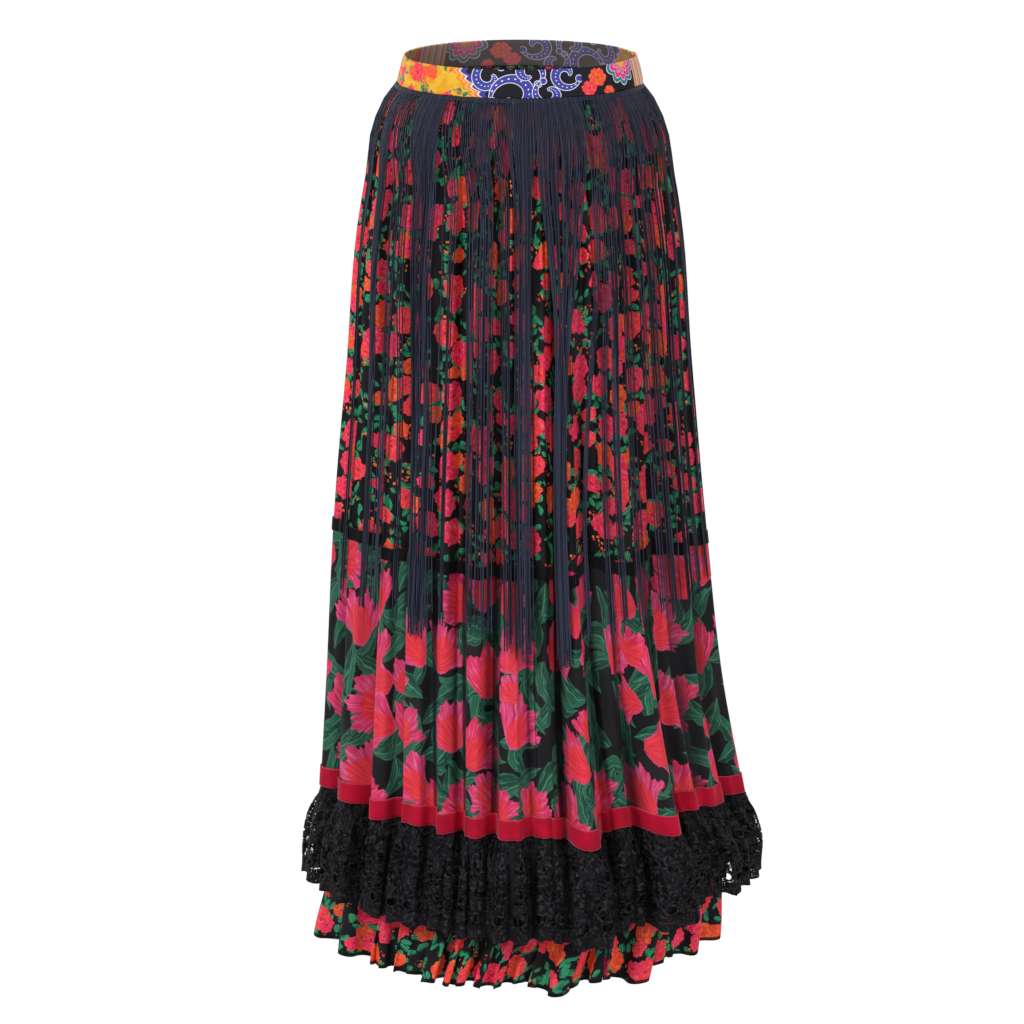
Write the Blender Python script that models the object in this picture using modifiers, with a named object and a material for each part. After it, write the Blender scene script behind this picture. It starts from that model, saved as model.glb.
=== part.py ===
"""Tiered maxi skirt with a fringe, ribbon bands and a lace flounce, standing open as it is worn.

Metres, +Z up, the front faces -Y. The origin is the centre of the waistband, where the wearer holds it up.
Every wall is an open surface lofted through worked-out rings and thickened by Solidify.
"""

import math
from collections import namedtuple

import bmesh
import bpy
from mathutils import Vector

# Heights down from the waistband's middle
BAND_HEIGHT = 0.028
UPPER_TIER_HEM = 0.502
MIDDLE_TIER_HEM = 0.778
LACE_HEM = 0.882
BOTTOM_TIER_HEM = 0.943
SEAM_GAP = 0.0003
HUNG_SEAM_GAP = 0.0010

# Cloth and trim thicknesses
BAND_CLOTH = 0.002
TIER_CLOTH = 0.0012
RIBBON_CLOTH = 0.0012
LACE_CLOTH = 0.001
LINING_CLOTH = 0.001
HEADING_CLOTH = 0.0014

# The waistband's outline, at its top and at its foot
BAND_TOP_WIDTH = 0.238
BAND_TOP_DEPTH = 0.168
BAND_FOOT_WIDTH = 0.252
BAND_FOOT_DEPTH = 0.180

# Trim sizes
VELVET_WIDTH = 0.013
RED_RIBBON_WIDTH = 0.0215
HEADING_HEIGHT = 0.006
HEADING_REACH = 0.0018
HEADING_OPENING_DEG = 0.4
BAND_LAP_DEG = 13.0
LAP_RAMP_DEG = 12.0
LACE_SCALLOP = 0.004
LACE_EYELET_WIDTH = 0.0056
LACE_EYELET_EDGE = 0.0022
LACE_EYELET_HEIGHT = 0.0095
LACE_EYELET_PLACE = 0.66
STRAND_SIDE = 0.0018
STRAND_LAYER = 0.0026
STRAND_PITCH = 0.0014
FRINGE_CLEARANCES = [0.0046, 0.0044, 0.0040]

# Pleating. A fold runs from one valley line to the next, with a few gathers of its own in it
COLUMNS_PER_FOLD = 6
WAIST_GATHERS_PER_FOLD = 3
FLOUNCE_COLUMNS_PER_FOLD = 8
LACE_GATHERS_PER_FOLD = 2
BACK_FOLDS = 9
ROUNDNESS = 0.03

# One row for each fold of the front, from the viewer's left: the angle of the valley line that starts it, in
# degrees from the front's middle, at the upper hem, the red ribbon and the bottom hem; how far its crest lies
# behind the outline, above the flounce and at the bottom hem; and how far its hems are lifted.
Fold = namedtuple("Fold", "at_upper_hem at_ribbon at_bottom_hem crest_back hem_back lift")
FRONT_FOLDS = [
    Fold(-90.0, -90.0, -90.0, 0.000, 0.003, 0.002),
    Fold(-74.0, -71.0, -68.0, 0.000, 0.002, 0.004),
    Fold(-57.5, -53.6, -50.5, 0.006, 0.012, -0.002),
    Fold(-39.6, -41.0, -40.5, 0.000, 0.006, 0.001),
    Fold(-29.5, -29.0, -30.5, 0.008, 0.004, -0.002),
    Fold(-19.0, -20.0, -22.0, 0.002, 0.000, -0.002),
    Fold(-8.0, -11.8, -14.1, 0.000, 0.002, -0.001),
    Fold(2.0, 0.3, -2.3, 0.004, 0.018, 0.001),
    Fold(11.2, 8.5, 6.0, 0.000, 0.002, -0.009),
    Fold(20.0, 22.4, 19.0, 0.016, 0.000, 0.006),
    Fold(29.0, 31.9, 29.0, 0.000, 0.004, -0.004),
    Fold(41.0, 48.8, 46.0, 0.014, 0.014, 0.007),
    Fold(55.8, 59.5, 57.0, 0.004, 0.006, 0.002),
    Fold(72.0, 75.0, 73.0, 0.000, 0.002, 0.000),
]

# One row for each ring, from the waist seam down: its height, the outline's half width and half depth, the
# shift of its middle to the wearer's left and to the back, the depth of a middling fold and of the gathers,
# the step forward of the wearer's left leg, how far it rises at the wearer's right and left side, and how
# much of the lift of the hems it has.
Ring = namedtuple(
    "Ring", "z half_width half_depth left back fold gather step right_rise left_rise lift"
)
BODY_RINGS = [
    Ring(-0.0148, 0.1258, 0.0892, 0.000, 0.000, 0.0005, 0.0024, 0.00, 0.000, 0.000, 0.0),
    Ring(-0.0420, 0.1425, 0.1060, 0.000, 0.003, 0.0025, 0.0034, 0.00, 0.000, 0.000, 0.0),
    Ring(-0.1250, 0.1630, 0.1270, 0.000, 0.008, 0.0080, 0.0022, 0.02, 0.000, 0.000, 0.0),
    Ring(-0.3300, 0.1825, 0.1520, 0.000, 0.007, 0.0160, 0.0004, 0.05, 0.006, 0.000, 0.5),
    Ring(-UPPER_TIER_HEM, 0.1975, 0.1660, 0.001, 0.003, 0.0220, 0.0, 0.07, 0.015, 0.003, 1.0),
]
MIDDLE_RINGS = [
    Ring(-UPPER_TIER_HEM - SEAM_GAP, 0.1975, 0.1660, 0.001, 0.003, 0.0220, 0.0, 0.07, 0.015, 0.003, 1.0),
    Ring(-0.6450, 0.2100, 0.1860, 0.005, 0.000, 0.0290, 0.0, 0.09, 0.005, -0.006, 1.0),
    Ring(-MIDDLE_TIER_HEM, 0.2265, 0.2050, 0.0125, 0.000, 0.0340, 0.0, 0.10, 0.006, -0.002, 1.0),
]
FLOUNCE_RINGS = [
    Ring(-0.8150, 0.2380, 0.2170, 0.0145, 0.000, 0.0260, 0.0, 0.10, 0.006, -0.001, 1.0),
    Ring(-LACE_HEM, 0.2440, 0.2240, 0.0140, 0.000, 0.0190, 0.0, 0.10, 0.012, 0.016, 1.0),
]
BOTTOM_RINGS = [
    Ring(-0.7880, 0.2120, 0.1905, 0.0120, 0.000, 0.0260, 0.0, 0.10, -0.003, -0.013, 1.0),
    Ring(-0.8680, 0.2110, 0.1940, 0.0050, 0.000, 0.0240, 0.0, 0.09, -0.004, -0.010, 1.0),
    Ring(-BOTTOM_TIER_HEM, 0.2170, 0.1990, -0.0040, 0.000, 0.0320, 0.0, 0.09, 0.002, -0.001, 1.0),
]
LACE_RUFFLE = [0.0, 0.0080, 0.0090]
LINING_BEHIND_LACE = 0.0028
LINING_DROP = 0.0030
LINING_HEM_RISE = 0.016
BOTTOM_TIER_TUCK = 0.010

# One row for each bundle of the fringe on the front, from the viewer's left: where it hangs at mid length, how
# many strands it has, how far it drifts on to its end, in degrees, and the height of its end below the waist.
Bundle = namedtuple("Bundle", "angle strands drift end")
FRONT_BUNDLES = [
    Bundle(-61.0, 5, -1.0, 0.552),
    Bundle(-49.0, 4, 1.5, 0.556),
    Bundle(-35.0, 9, 0.0, 0.566),
    Bundle(-25.0, 3, 0.0, 0.560),
    Bundle(-14.0, 6, 1.0, 0.562),
    Bundle(-4.0, 4, 0.0, 0.574),
    Bundle(3.0, 6, -1.5, 0.582),
    Bundle(14.0, 10, -1.0, 0.590),
    Bundle(29.0, 4, -7.0, 0.570),
    Bundle(38.5, 3, -5.0, 0.560),
    Bundle(54.0, 5, 1.0, 0.556),
    Bundle(68.0, 5, 2.0, 0.548),
    Bundle(84.0, 3, 1.0, 0.540),
]
BACK_BUNDLES = 11
BACK_BUNDLES_FROM_DEG = 101.0
BACK_BUNDLES_TO_DEG = 267.0
BACK_BUNDLE_STRANDS = (5, 3, 6, 4, 4)
BACK_BUNDLE_END = 0.565
FRINGE_LEVELS = [-0.0420, -0.1250]
FRINGE_GATHERED = [0.55, 0.9, 1.0]

# Colour as red, green and blue, roughness, and the slot's own name
Cloth = namedtuple("Cloth", "red green blue roughness")
CLOTHS = {
    "scarf_print": Cloth(0.62, 0.33, 0.08, 0.70),
    "fringe_cord": Cloth(0.045, 0.055, 0.085, 0.55),
    "rose_print": Cloth(0.28, 0.04, 0.05, 0.80),
    "black_velvet": Cloth(0.006, 0.006, 0.008, 0.95),
    "tulip_print": Cloth(0.30, 0.03, 0.07, 0.70),
    "red_velvet": Cloth(0.45, 0.01, 0.03, 0.85),
    "black_lace": Cloth(0.012, 0.012, 0.014, 0.85),
    "black_lining": Cloth(0.008, 0.008, 0.010, 0.80),
}


def mix(first, second, share):
    return first + (second - first) * share


def back_fold(index):
    """A fold of the back, whose valley line runs straight down from its even place, a little varied."""
    line = 90.0 + 180.0 * index / BACK_FOLDS
    if 0 < index:
        line += 2.6 * math.sin(2.1 * index)
    crest = 0.005 + 0.005 * math.sin(1.7 * index)
    return Fold(line, line, line + 1.5 * math.sin(1.3 * index), crest, crest + 0.004, 0.004)


FOLDS = FRONT_FOLDS + [back_fold(index) for index in range(BACK_FOLDS)]
FRONT_SHARE = len(FRONT_FOLDS) / len(FOLDS)


def fold_line(index, depth):
    """The angle of valley line index at a depth below the waist, in degrees."""
    turns, index = divmod(index, len(FOLDS))
    fold = FOLDS[index]
    if depth <= UPPER_TIER_HEM:
        line = fold.at_upper_hem
    elif depth <= MIDDLE_TIER_HEM:
        share = (depth - UPPER_TIER_HEM) / (MIDDLE_TIER_HEM - UPPER_TIER_HEM)
        line = mix(fold.at_upper_hem, fold.at_ribbon, share)
    else:
        share = max(0.0, (depth - LACE_HEM) / (BOTTOM_TIER_HEM - LACE_HEM))
        line = mix(fold.at_ribbon, fold.at_bottom_hem, share)
    return line + 360.0 * turns


def crest_back(fold, depth):
    """How far the fold's crest lies behind the outline at a depth below the waist."""
    if depth <= MIDDLE_TIER_HEM:
        return fold.crest_back * min(1.0, depth / UPPER_TIER_HEM)
    share = min(1.0, max(0.0, (depth - LACE_HEM) / (BOTTOM_TIER_HEM - LACE_HEM)))
    return mix(fold.crest_back, fold.hem_back, share)


def fold_width(index, depth):
    """The width of a fold beside the mean one, at a depth below the waist."""
    return (fold_line(index + 1, depth) - fold_line(index, depth)) * len(FOLDS) / 360.0


def valley_share(index, depth):
    """How deep valley line index is beside the ring's folds: less between narrow ones."""
    return min(1.15, fold_width(index - 1, depth), fold_width(index, depth))


def outline_point(ring, angle, inward):
    """A point of a ring's outline at an angle in degrees from the front, moved inward along its normal."""
    turn = math.radians(angle)
    across = math.sin(turn)
    along = -math.cos(turn)
    step = 1.0 + ring.step * across * max(0.0, -along)
    place = Vector((ring.left + ring.half_width * across, ring.back + ring.half_depth * along * step, ring.z))
    normal = Vector((across / ring.half_width, along / ring.half_depth, 0.0)).normalized()
    return place - normal * inward


def cloth_point(ring, index, share):
    """A point of the folded cloth on a ring, at a share of the way through a fold."""
    fold = FOLDS[index % len(FOLDS)]
    before = FOLDS[(index - 1) % len(FOLDS)]
    after = FOLDS[(index + 1) % len(FOLDS)]
    depth = -ring.z
    crest = 0.5 - 0.5 * math.cos(2 * math.pi * share)
    roundness = ROUNDNESS * min(1.0, ring.fold / 0.02)
    along = share + roundness * math.sin(4 * math.pi * share)
    angle = mix(fold_line(index, depth), fold_line(index + 1, depth), along)
    gather = 0.5 + 0.5 * math.cos(2 * math.pi * WAIST_GATHERS_PER_FOLD * share)
    valley = valley_share(index if share < 0.5 else index + 1, depth)
    inward = ring.fold * valley * (1.0 - crest) + crest_back(fold, depth) * crest + ring.gather * gather
    neighbour = before if share < 0.5 else after
    lift = mix((fold.lift + neighbour.lift) / 2, fold.lift, crest) * ring.lift
    across = math.sin(math.radians(angle))
    lift += across * across * (ring.right_rise if across < 0 else ring.left_rise)
    return outline_point(ring, angle, inward) + Vector((0.0, 0.0, lift))


def cloth_rows(rings, per_fold=COLUMNS_PER_FOLD):
    """All the way round, one row of points for each ring."""
    places = [(index, step / per_fold) for index in range(len(FOLDS)) for step in range(per_fold)]
    return [[cloth_point(ring, index, share) for index, share in places] for ring in rings]


def outward(row, column):
    """The horizontal direction out of a row at a column, lengthened at a bend so that an offset keeps its width."""
    here = row[column]
    sides = []
    for a, b in ((row[column - 1], here), (here, row[(column + 1) % len(row)])):
        run = b - a
        sides.append(Vector((run.y, -run.x, 0.0)).normalized())
    middle = (sides[0] + sides[1]).normalized()
    return middle / max(0.5, middle.dot(sides[0]))


def moved_out(rows, distances):
    """Rows moved out of the cloth along its normals, by one distance, or by one for each row and column."""
    moved = []
    for level, row in enumerate(rows):
        distance = distances[level] if isinstance(distances, list) else distances
        out = []
        for column, place in enumerate(row):
            step = distance[column] if isinstance(distance, list) else distance
            out.append(place + outward(row, column) * step)
        moved.append(out)
    return moved


def row_between(upper, lower, drop):
    """A row on the flat faces between two rows, this far below the upper one, or above the lower one if negative."""
    height = sum(a.z - b.z for a, b in zip(upper, lower)) / len(upper)
    share = (drop if drop > 0 else height + drop) / height
    return [a.lerp(b, share) for a, b in zip(upper, lower)]


def resampled(row, count):
    """A closed row's own line with another number of columns, evenly spaced by its old ones."""
    line = []
    for column in range(count):
        step, share = divmod(column * len(row) / count, 1.0)
        line.append(row[int(step)].lerp(row[(int(step) + 1) % len(row)], share))
    return line


def new_material(name):
    cloth = CLOTHS[name]
    material = bpy.data.materials.new(name)
    material.use_nodes = True
    shader = material.node_tree.nodes["Principled BSDF"]
    shader.inputs["Base Color"].default_value = (cloth.red, cloth.green, cloth.blue, 1.0)
    shader.inputs["Roughness"].default_value = cloth.roughness
    shader.inputs["Metallic"].default_value = 0.0
    return material


def add_object(name, shape, material, collection):
    """Puts a finished bmesh into the scene as a named object."""
    mesh = bpy.data.meshes.new(name)
    shape.to_mesh(mesh)
    shape.free()
    mesh.materials.append(material)
    made = bpy.data.objects.new(name, mesh)
    collection.objects.link(made)
    return made


def thicken(made, thickness):
    wall = made.modifiers.new("Wall", "SOLIDIFY")
    wall.thickness = thickness
    wall.offset = 0.0
    wall.use_even_offset = True
    wall.use_quality_normals = True
    return made


def panel_columns(rows, first, last):
    """The columns first to last - 1 of closed rows, run on at each end to half a gap short of the seam.

    The seams lie midway between two columns, so that the ends of both panels lie in one plane.
    """
    cut = []
    for row in rows:
        part = [row[column] for column in range(first, last)]
        for near, far, place in ((first, first - 1, 0), (last - 1, last, len(part) + 1)):
            inner = row[near]
            outer = row[far % len(row)]
            run = outer - inner
            part.insert(place, inner + run / 2 - run.normalized() * SEAM_GAP / 2)
        cut.append(part)
    return cut


def surface(rows, closed, windows=frozenset()):
    """An open surface through rows of points. A window is a quad, by row and column, with a hole cut in it."""
    shape = bmesh.new()
    grid = [[shape.verts.new(place) for place in row] for row in rows]
    width = len(rows[0])
    for level in range(len(rows) - 1):
        for column in range(width if closed else width - 1):
            right = (column + 1) % width
            corners = [grid[level][column], grid[level + 1][column], grid[level + 1][right], grid[level][right]]
            if (level, column) in windows:
                cut_window(shape, corners)
            else:
                shape.faces.new(corners)
    bmesh.ops.recalc_face_normals(shape, faces=shape.faces)
    return shape


def cut_window(shape, corners):
    """Fills a quad with four faces round an eyelet. The corners run down the left side and up the right."""
    top_left, bottom_left, bottom_right, top_right = [corner.co for corner in corners]
    width = ((top_right - top_left).length + (bottom_right - bottom_left).length) / 2
    height = (bottom_left - top_left).length
    half_across = LACE_EYELET_WIDTH / width / 2
    half_down = LACE_EYELET_HEIGHT / height / 2
    inner = []
    for across, down in ((-1, -1), (-1, 1), (1, 1), (1, -1)):
        share = 0.5 + across * half_across
        drop = LACE_EYELET_PLACE + down * half_down
        inner.append(shape.verts.new(top_left.lerp(top_right, share).lerp(bottom_left.lerp(bottom_right, share), drop)))
    for side in range(4):
        after = (side + 1) % 4
        shape.faces.new([corners[side], corners[after], inner[after], inner[side]])


def wall(name, rows, thickness, material, collection, windows=frozenset()):
    """A wall that closes on itself."""
    made = add_object(name, surface(rows, True, windows), material, collection)
    return thicken(made, thickness)


def front_and_back(name, rows, thickness, material, collection, windows=frozenset()):
    """A wall cut in a front and a back panel, which meet at the side seams."""
    total = len(rows[0])
    split = round(total * FRONT_SHARE)
    for side, first, last in (("front", 0, split), ("back", split, total)):
        here = {(level, column - first + 1) for level, column in windows if first <= column < last - 1}
        panel = surface(panel_columns(rows, first, last), False, here)
        thicken(add_object(f"{name}_{side}", panel, material, collection), thickness)


def build_waistband(material, collection):
    """Two shaped bands. The front one laps over the back one at the wearer's left side."""
    rings = [
        Ring(BAND_HEIGHT / 2, BAND_TOP_WIDTH / 2, BAND_TOP_DEPTH / 2, *[0.0] * 8),
        Ring(-BAND_HEIGHT / 2, BAND_FOOT_WIDTH / 2, BAND_FOOT_DEPTH / 2, *[0.0] * 8),
    ]
    gap = math.degrees(SEAM_GAP / 2 / rings[0].half_depth)
    spans = {
        "waistband_front": (-90.0 + gap, 90.0 + BAND_LAP_DEG),
        "waistband_back": (90.0, 270.0 - gap),
    }
    steps = 26
    for name, (start, end) in spans.items():
        rows = []
        for ring in rings:
            row = []
            for step in range(steps + 1):
                angle = mix(start, end, step / steps)
                lap = min(1.0, max(0.0, (angle - 90.0 + 1.5 * LAP_RAMP_DEG) / LAP_RAMP_DEG))
                over = (BAND_CLOTH + 2 * SEAM_GAP) * lap if name == "waistband_front" else 0.0
                row.append(outline_point(ring, angle, -over))
            rows.append(row)
        made = add_object(name, surface(rows, False), material, collection)
        thicken(made, BAND_CLOTH)


def fringe_bundles():
    """The bundles of the whole fringe, the front's from the table and the back's evenly round it."""
    bundles = list(FRONT_BUNDLES)
    for index in range(1, BACK_BUNDLES + 1):
        share = (index - 1) / (BACK_BUNDLES - 1)
        angle = mix(BACK_BUNDLES_FROM_DEG, BACK_BUNDLES_TO_DEG, share) + 2.5 * math.sin(1.9 * index)
        strands = BACK_BUNDLE_STRANDS[index % len(BACK_BUNDLE_STRANDS)]
        drift = 2.0 * math.sin(2.7 * index)
        bundles.append(Bundle(angle, strands, drift, BACK_BUNDLE_END + 0.012 * math.sin(2.3 * index)))
    return bundles


def fringe_roots(bundles):
    """One root for each strand: the angle where its column of the heading starts, its bundle and its number."""
    roots = []
    for index, bundle in enumerate(bundles):
        before = bundles[index - 1].angle - (360.0 if index == 0 else 0.0)
        after = bundles[(index + 1) % len(bundles)].angle + (360.0 if index + 1 == len(bundles) else 0.0)
        start = (before + bundle.angle) / 2
        end = (bundle.angle + after) / 2
        for number in range(bundle.strands):
            roots.append((mix(start, end, number / bundle.strands), bundle, number))
    return roots


def ring_at(z):
    """A body ring at any height below the waist seam, between those of the tables."""
    z = min(z, BODY_RINGS[0].z)
    rings = BODY_RINGS + MIDDLE_RINGS[1:]
    for upper, lower in zip(rings, rings[1:]):
        if z >= lower.z:
            share = (upper.z - z) / (upper.z - lower.z)
            return Ring(*(mix(a, b, share) for a, b in zip(upper, lower)))
    return rings[-1]


def build_fringe(material, collection):
    """A narrow heading round the waist seam, open by a slit, with a strand drawn down from each column of it."""
    roots = fringe_roots(fringe_bundles())
    shape = bmesh.new()
    columns = []
    for angle, _, _ in [*roots, (roots[0][0] + 360.0 - HEADING_OPENING_DEG, None, 0)]:
        corners = []
        for z in (-BAND_HEIGHT / 2 - SEAM_GAP, -BAND_HEIGHT / 2 - SEAM_GAP - HEADING_HEIGHT):
            for half in (1, -1):
                place = outline_point(ring_at(z), angle, -HEADING_REACH - half * HEADING_CLOTH / 2)
                corners.append(shape.verts.new((place.x, place.y, z)))
        columns.append(corners)
    for (angle, bundle, number), here, after in zip(roots, columns, columns[1:]):
        shape.faces.new([here[0], here[2], after[2], after[0]])
        shape.faces.new([after[1], after[3], here[3], here[1]])
        shape.faces.new([here[1], here[0], after[0], after[1]])
        draw_strand(shape, here, after, angle, bundle, number)
    first, last = columns[0], columns[-1]
    shape.faces.new([first[0], first[1], first[3], first[2]])
    shape.faces.new([last[2], last[3], last[1], last[0]])
    bmesh.ops.recalc_face_normals(shape, faces=shape.faces)
    add_object("fringe", shape, material, collection)


def draw_strand(shape, here, after, root_angle, bundle, number):
    """Closes the heading's underside between two columns and draws a three-sided strand out of one triangle."""
    shape.faces.new([here[2], after[3], after[2]])
    ring = [here[2], here[3], after[3]]
    layer = number % 2 * STRAND_LAYER
    from_middle = number - (bundle.strands - 1) / 2
    levels = [*FRINGE_LEVELS, -bundle.end + 0.006 * math.sin(2.4 * number)]
    for z, clearance, gathered in zip(levels, FRINGE_CLEARANCES, FRINGE_GATHERED):
        section = ring_at(z)
        home = bundle.angle + math.degrees(from_middle * STRAND_PITCH / section.half_depth)
        if z == levels[-1]:
            home += bundle.drift
        angle = mix(root_angle, home, gathered)
        centre = outline_point(section, angle, -clearance - layer * gathered)
        centre.z = z
        out = Vector((centre.x - section.left, centre.y - section.back, 0.0)).normalized() * STRAND_SIDE / 2
        side = Vector((-out.y, out.x, 0.0))
        places = (centre + out - side, centre - out - side, centre - out + side)
        below = [shape.verts.new(place) for place in places]
        for corner in range(3):
            following = (corner + 1) % 3
            shape.faces.new([ring[corner], ring[following], below[following], below[corner]])
        ring = below
    shape.faces.new(ring)


def build_flounces(middle_rows, materials, collection):
    """The lace flounce, the plain lining behind it and the bottom tier, all hung from the middle tier's hem."""
    seam = resampled(middle_rows[-1], len(FOLDS) * FLOUNCE_COLUMNS_PER_FOLD)
    seam = [place - Vector((0.0, 0.0, HUNG_SEAM_GAP)) for place in seam]
    base = [seam] + cloth_rows(FLOUNCE_RINGS, FLOUNCE_COLUMNS_PER_FOLD)
    wave = []
    for index in range(len(FOLDS)):
        for step in range(FLOUNCE_COLUMNS_PER_FOLD):
            turn = 2 * math.pi * LACE_GATHERS_PER_FOLD * step / FLOUNCE_COLUMNS_PER_FOLD
            wave.append((0.5 - 0.5 * math.cos(turn)) * min(1.0, fold_width(index, MIDDLE_TIER_HEM)))
    lace = moved_out(base, [[reach * high for high in wave] for reach in LACE_RUFFLE])
    lace[-1] = [place - Vector((0.0, 0.0, LACE_SCALLOP * high)) for place, high in zip(lace[-1], wave)]
    lowest = lace[-1]
    eyelets = {
        (1, column)
        for column in range(0, len(lowest), 2)
        if (lowest[column + 1] - lowest[column]).length > LACE_EYELET_WIDTH + LACE_EYELET_EDGE
    }
    front_and_back("lace_flounce", lace, LACE_CLOTH, materials["black_lace"], collection, eyelets)

    behind = moved_out(base, -LINING_BEHIND_LACE)
    hung = (LACE_CLOTH + LINING_CLOTH) / 2 + 2 * SEAM_GAP
    start = moved_out([row_between(base[0], base[1], LINING_DROP)], -hung)[0]
    lining = [start, row_between(behind[1], behind[2], -LINING_HEM_RISE)]
    front_and_back("flounce_lining", lining, LINING_CLOTH, materials["black_lining"], collection)

    tuck = TIER_CLOTH + HUNG_SEAM_GAP
    top = moved_out([row_between(middle_rows[-2], middle_rows[-1], -BOTTOM_TIER_TUCK)], -tuck)
    bottom = top + cloth_rows(BOTTOM_RINGS)
    front_and_back("bottom_tier", bottom, TIER_CLOTH, materials["rose_print"], collection)


def build_ribbon(name, rows, thickness, material, collection):
    """A ribbon laid on rows of a tier's own points."""
    reach = TIER_CLOTH / 2 + SEAM_GAP + thickness / 2
    wall(name, moved_out(rows, reach), thickness, material, collection)


def main():
    for old in list(bpy.data.objects):
        bpy.data.objects.remove(old)
    collection = bpy.data.collections.new("tiered_maxi_skirt")
    bpy.context.scene.collection.children.link(collection)
    materials = {name: new_material(name) for name in CLOTHS}

    build_waistband(materials["scarf_print"], collection)
    build_fringe(materials["fringe_cord"], collection)

    upper = cloth_rows(BODY_RINGS)
    front_and_back("upper_tier", upper, TIER_CLOTH, materials["rose_print"], collection)
    middle = cloth_rows(MIDDLE_RINGS)
    front_and_back("middle_tier", middle, TIER_CLOTH, materials["tulip_print"], collection)

    velvet = [
        row_between(upper[-2], upper[-1], -VELVET_WIDTH / 2),
        row_between(middle[0], middle[1], VELVET_WIDTH / 2),
    ]
    build_ribbon("velvet_ribbon", velvet, RIBBON_CLOTH, materials["black_velvet"], collection)
    red = [row_between(middle[-2], middle[-1], -RED_RIBBON_WIDTH), middle[-1]]
    build_ribbon("red_ribbon", red, RIBBON_CLOTH, materials["red_velvet"], collection)
    build_flounces(middle, materials, collection)


main()
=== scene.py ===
"""The finished surfaces of a tiered maxi skirt: printed tiers, scarf waistband, fringe, ribbons and lace.

Laid out as an add-on with one operator for each piece or group of like pieces. Lengths are in metres, +Z is
up and the front faces -Y. The origin is the middle of the waistband.
"""

import math
from collections import namedtuple
from functools import partial

import bpy
import numpy as np
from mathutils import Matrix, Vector


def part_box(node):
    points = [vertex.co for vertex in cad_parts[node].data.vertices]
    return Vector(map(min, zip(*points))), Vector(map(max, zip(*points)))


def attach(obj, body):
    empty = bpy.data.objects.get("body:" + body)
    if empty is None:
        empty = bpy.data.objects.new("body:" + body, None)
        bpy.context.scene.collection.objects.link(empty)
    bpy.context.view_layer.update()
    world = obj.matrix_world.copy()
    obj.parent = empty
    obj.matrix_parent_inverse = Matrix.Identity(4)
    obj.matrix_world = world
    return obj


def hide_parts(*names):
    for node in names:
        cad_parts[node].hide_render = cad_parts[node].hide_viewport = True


bl_info = {
    "name": "Tiered maxi skirt",
    "version": (1, 0, 0),
    "blender": (4, 5, 0),
    "location": "View3D > Sidebar > Skirt",
    "description": "Builds the cloth, ribbons, lace and fringe of a long tiered skirt",
    "category": "Object",
}

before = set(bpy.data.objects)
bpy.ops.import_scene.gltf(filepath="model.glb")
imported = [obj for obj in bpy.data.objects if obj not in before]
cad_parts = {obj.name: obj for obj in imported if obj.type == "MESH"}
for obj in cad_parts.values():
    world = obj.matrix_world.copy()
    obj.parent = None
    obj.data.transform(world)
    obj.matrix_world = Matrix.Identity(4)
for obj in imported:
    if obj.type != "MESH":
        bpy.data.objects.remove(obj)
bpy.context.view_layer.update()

# Depths below the waistband's middle
BAND_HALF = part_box("waistband_front")[1].z
WAIST_SEAM = 0.0148
UPPER_TIER_HEM = 0.502
MIDDLE_TIER_HEM = 0.778
LACE_HEM = 0.882
LINING_HEM = 0.872
BOTTOM_TIER_TOP = 0.768
BOTTOM_TIER_HEM = 0.943

# Depths of the rows where they aren't even: the upper tier's are closer above the first of these
UPPER_ROWS_CLOSE_TO = 0.12
BOTTOM_ROWS = (0.788, 0.81, 0.83, 0.85)
BOTTOM_ROWS_EVEN_FROM = 0.865

# How the pieces lie on one another, and the lining's and the trimmings' own sizes
SEAM_GAP = 0.0003
RIBBON_PROUD = 0.0015
VELVET_WIDTH = 0.013
RED_RIBBON_WIDTH = 0.0215
LINING_CLOTH = 0.0007
LINING_TOP_BEHIND = 0.0016
LINING_HEM_BEHIND = 0.0028
LINING_RETREAT_LEFT = 0.020
LINING_RETREAT_RIGHT = 0.005
BOTTOM_TIER_TUCK = 0.0022
LACE_RUFFLE = 0.009
LACE_SCALLOP = 0.004
DARK_HEM = 0.0045
LAP = 0.0026

# Folds, as in the solids, with finer columns
COLUMNS = 30
WAIST_GATHERS = 3
LACE_GATHERS = 2
BACK_FOLDS = 9
ROUNDNESS = 0.05
FULL_FOLD = 0.02
CREST_SHARPNESS = 0.7
DEEPEST_FOLD = 1.15
SEAM_SHARE = 1 / 12

# One row for each fold of the front, from the viewer's left: the angle of the valley line that starts it, in
# degrees from the front's middle, at the upper hem, the red ribbon and the bottom hem; how far its crest lies
# behind the outline, above the flounce and at the bottom hem; and how far its hems are lifted.
Fold = namedtuple("Fold", "at_upper_hem at_ribbon at_bottom_hem crest_back hem_back lift")
FRONT_FOLDS = [
    Fold(-90.0, -90.0, -90.0, 0.0, 0.003, 0.002),
    Fold(-74.0, -71.0, -68.0, 0.0, 0.002, 0.004),
    Fold(-57.5, -53.6, -50.5, 0.006, 0.012, -0.002),
    Fold(-39.6, -41.0, -40.5, 0.0, 0.006, 0.001),
    Fold(-29.5, -29.0, -30.5, 0.008, 0.004, -0.002),
    Fold(-19.0, -20.0, -22.0, 0.002, 0.0, -0.002),
    Fold(-8.0, -11.8, -14.1, 0.0, 0.002, -0.001),
    Fold(2.0, 0.3, -2.3, 0.004, 0.018, 0.001),
    Fold(11.2, 8.5, 6.0, 0.0, 0.002, -0.009),
    Fold(20.0, 22.4, 19.0, 0.016, 0.0, 0.006),
    Fold(29.0, 31.9, 29.0, 0.0, 0.004, -0.004),
    Fold(41.0, 48.8, 46.0, 0.014, 0.014, 0.007),
    Fold(55.8, 59.5, 57.0, 0.004, 0.006, 0.002),
    Fold(72.0, 75.0, 73.0, 0.0, 0.002, 0.0),
]

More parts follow.
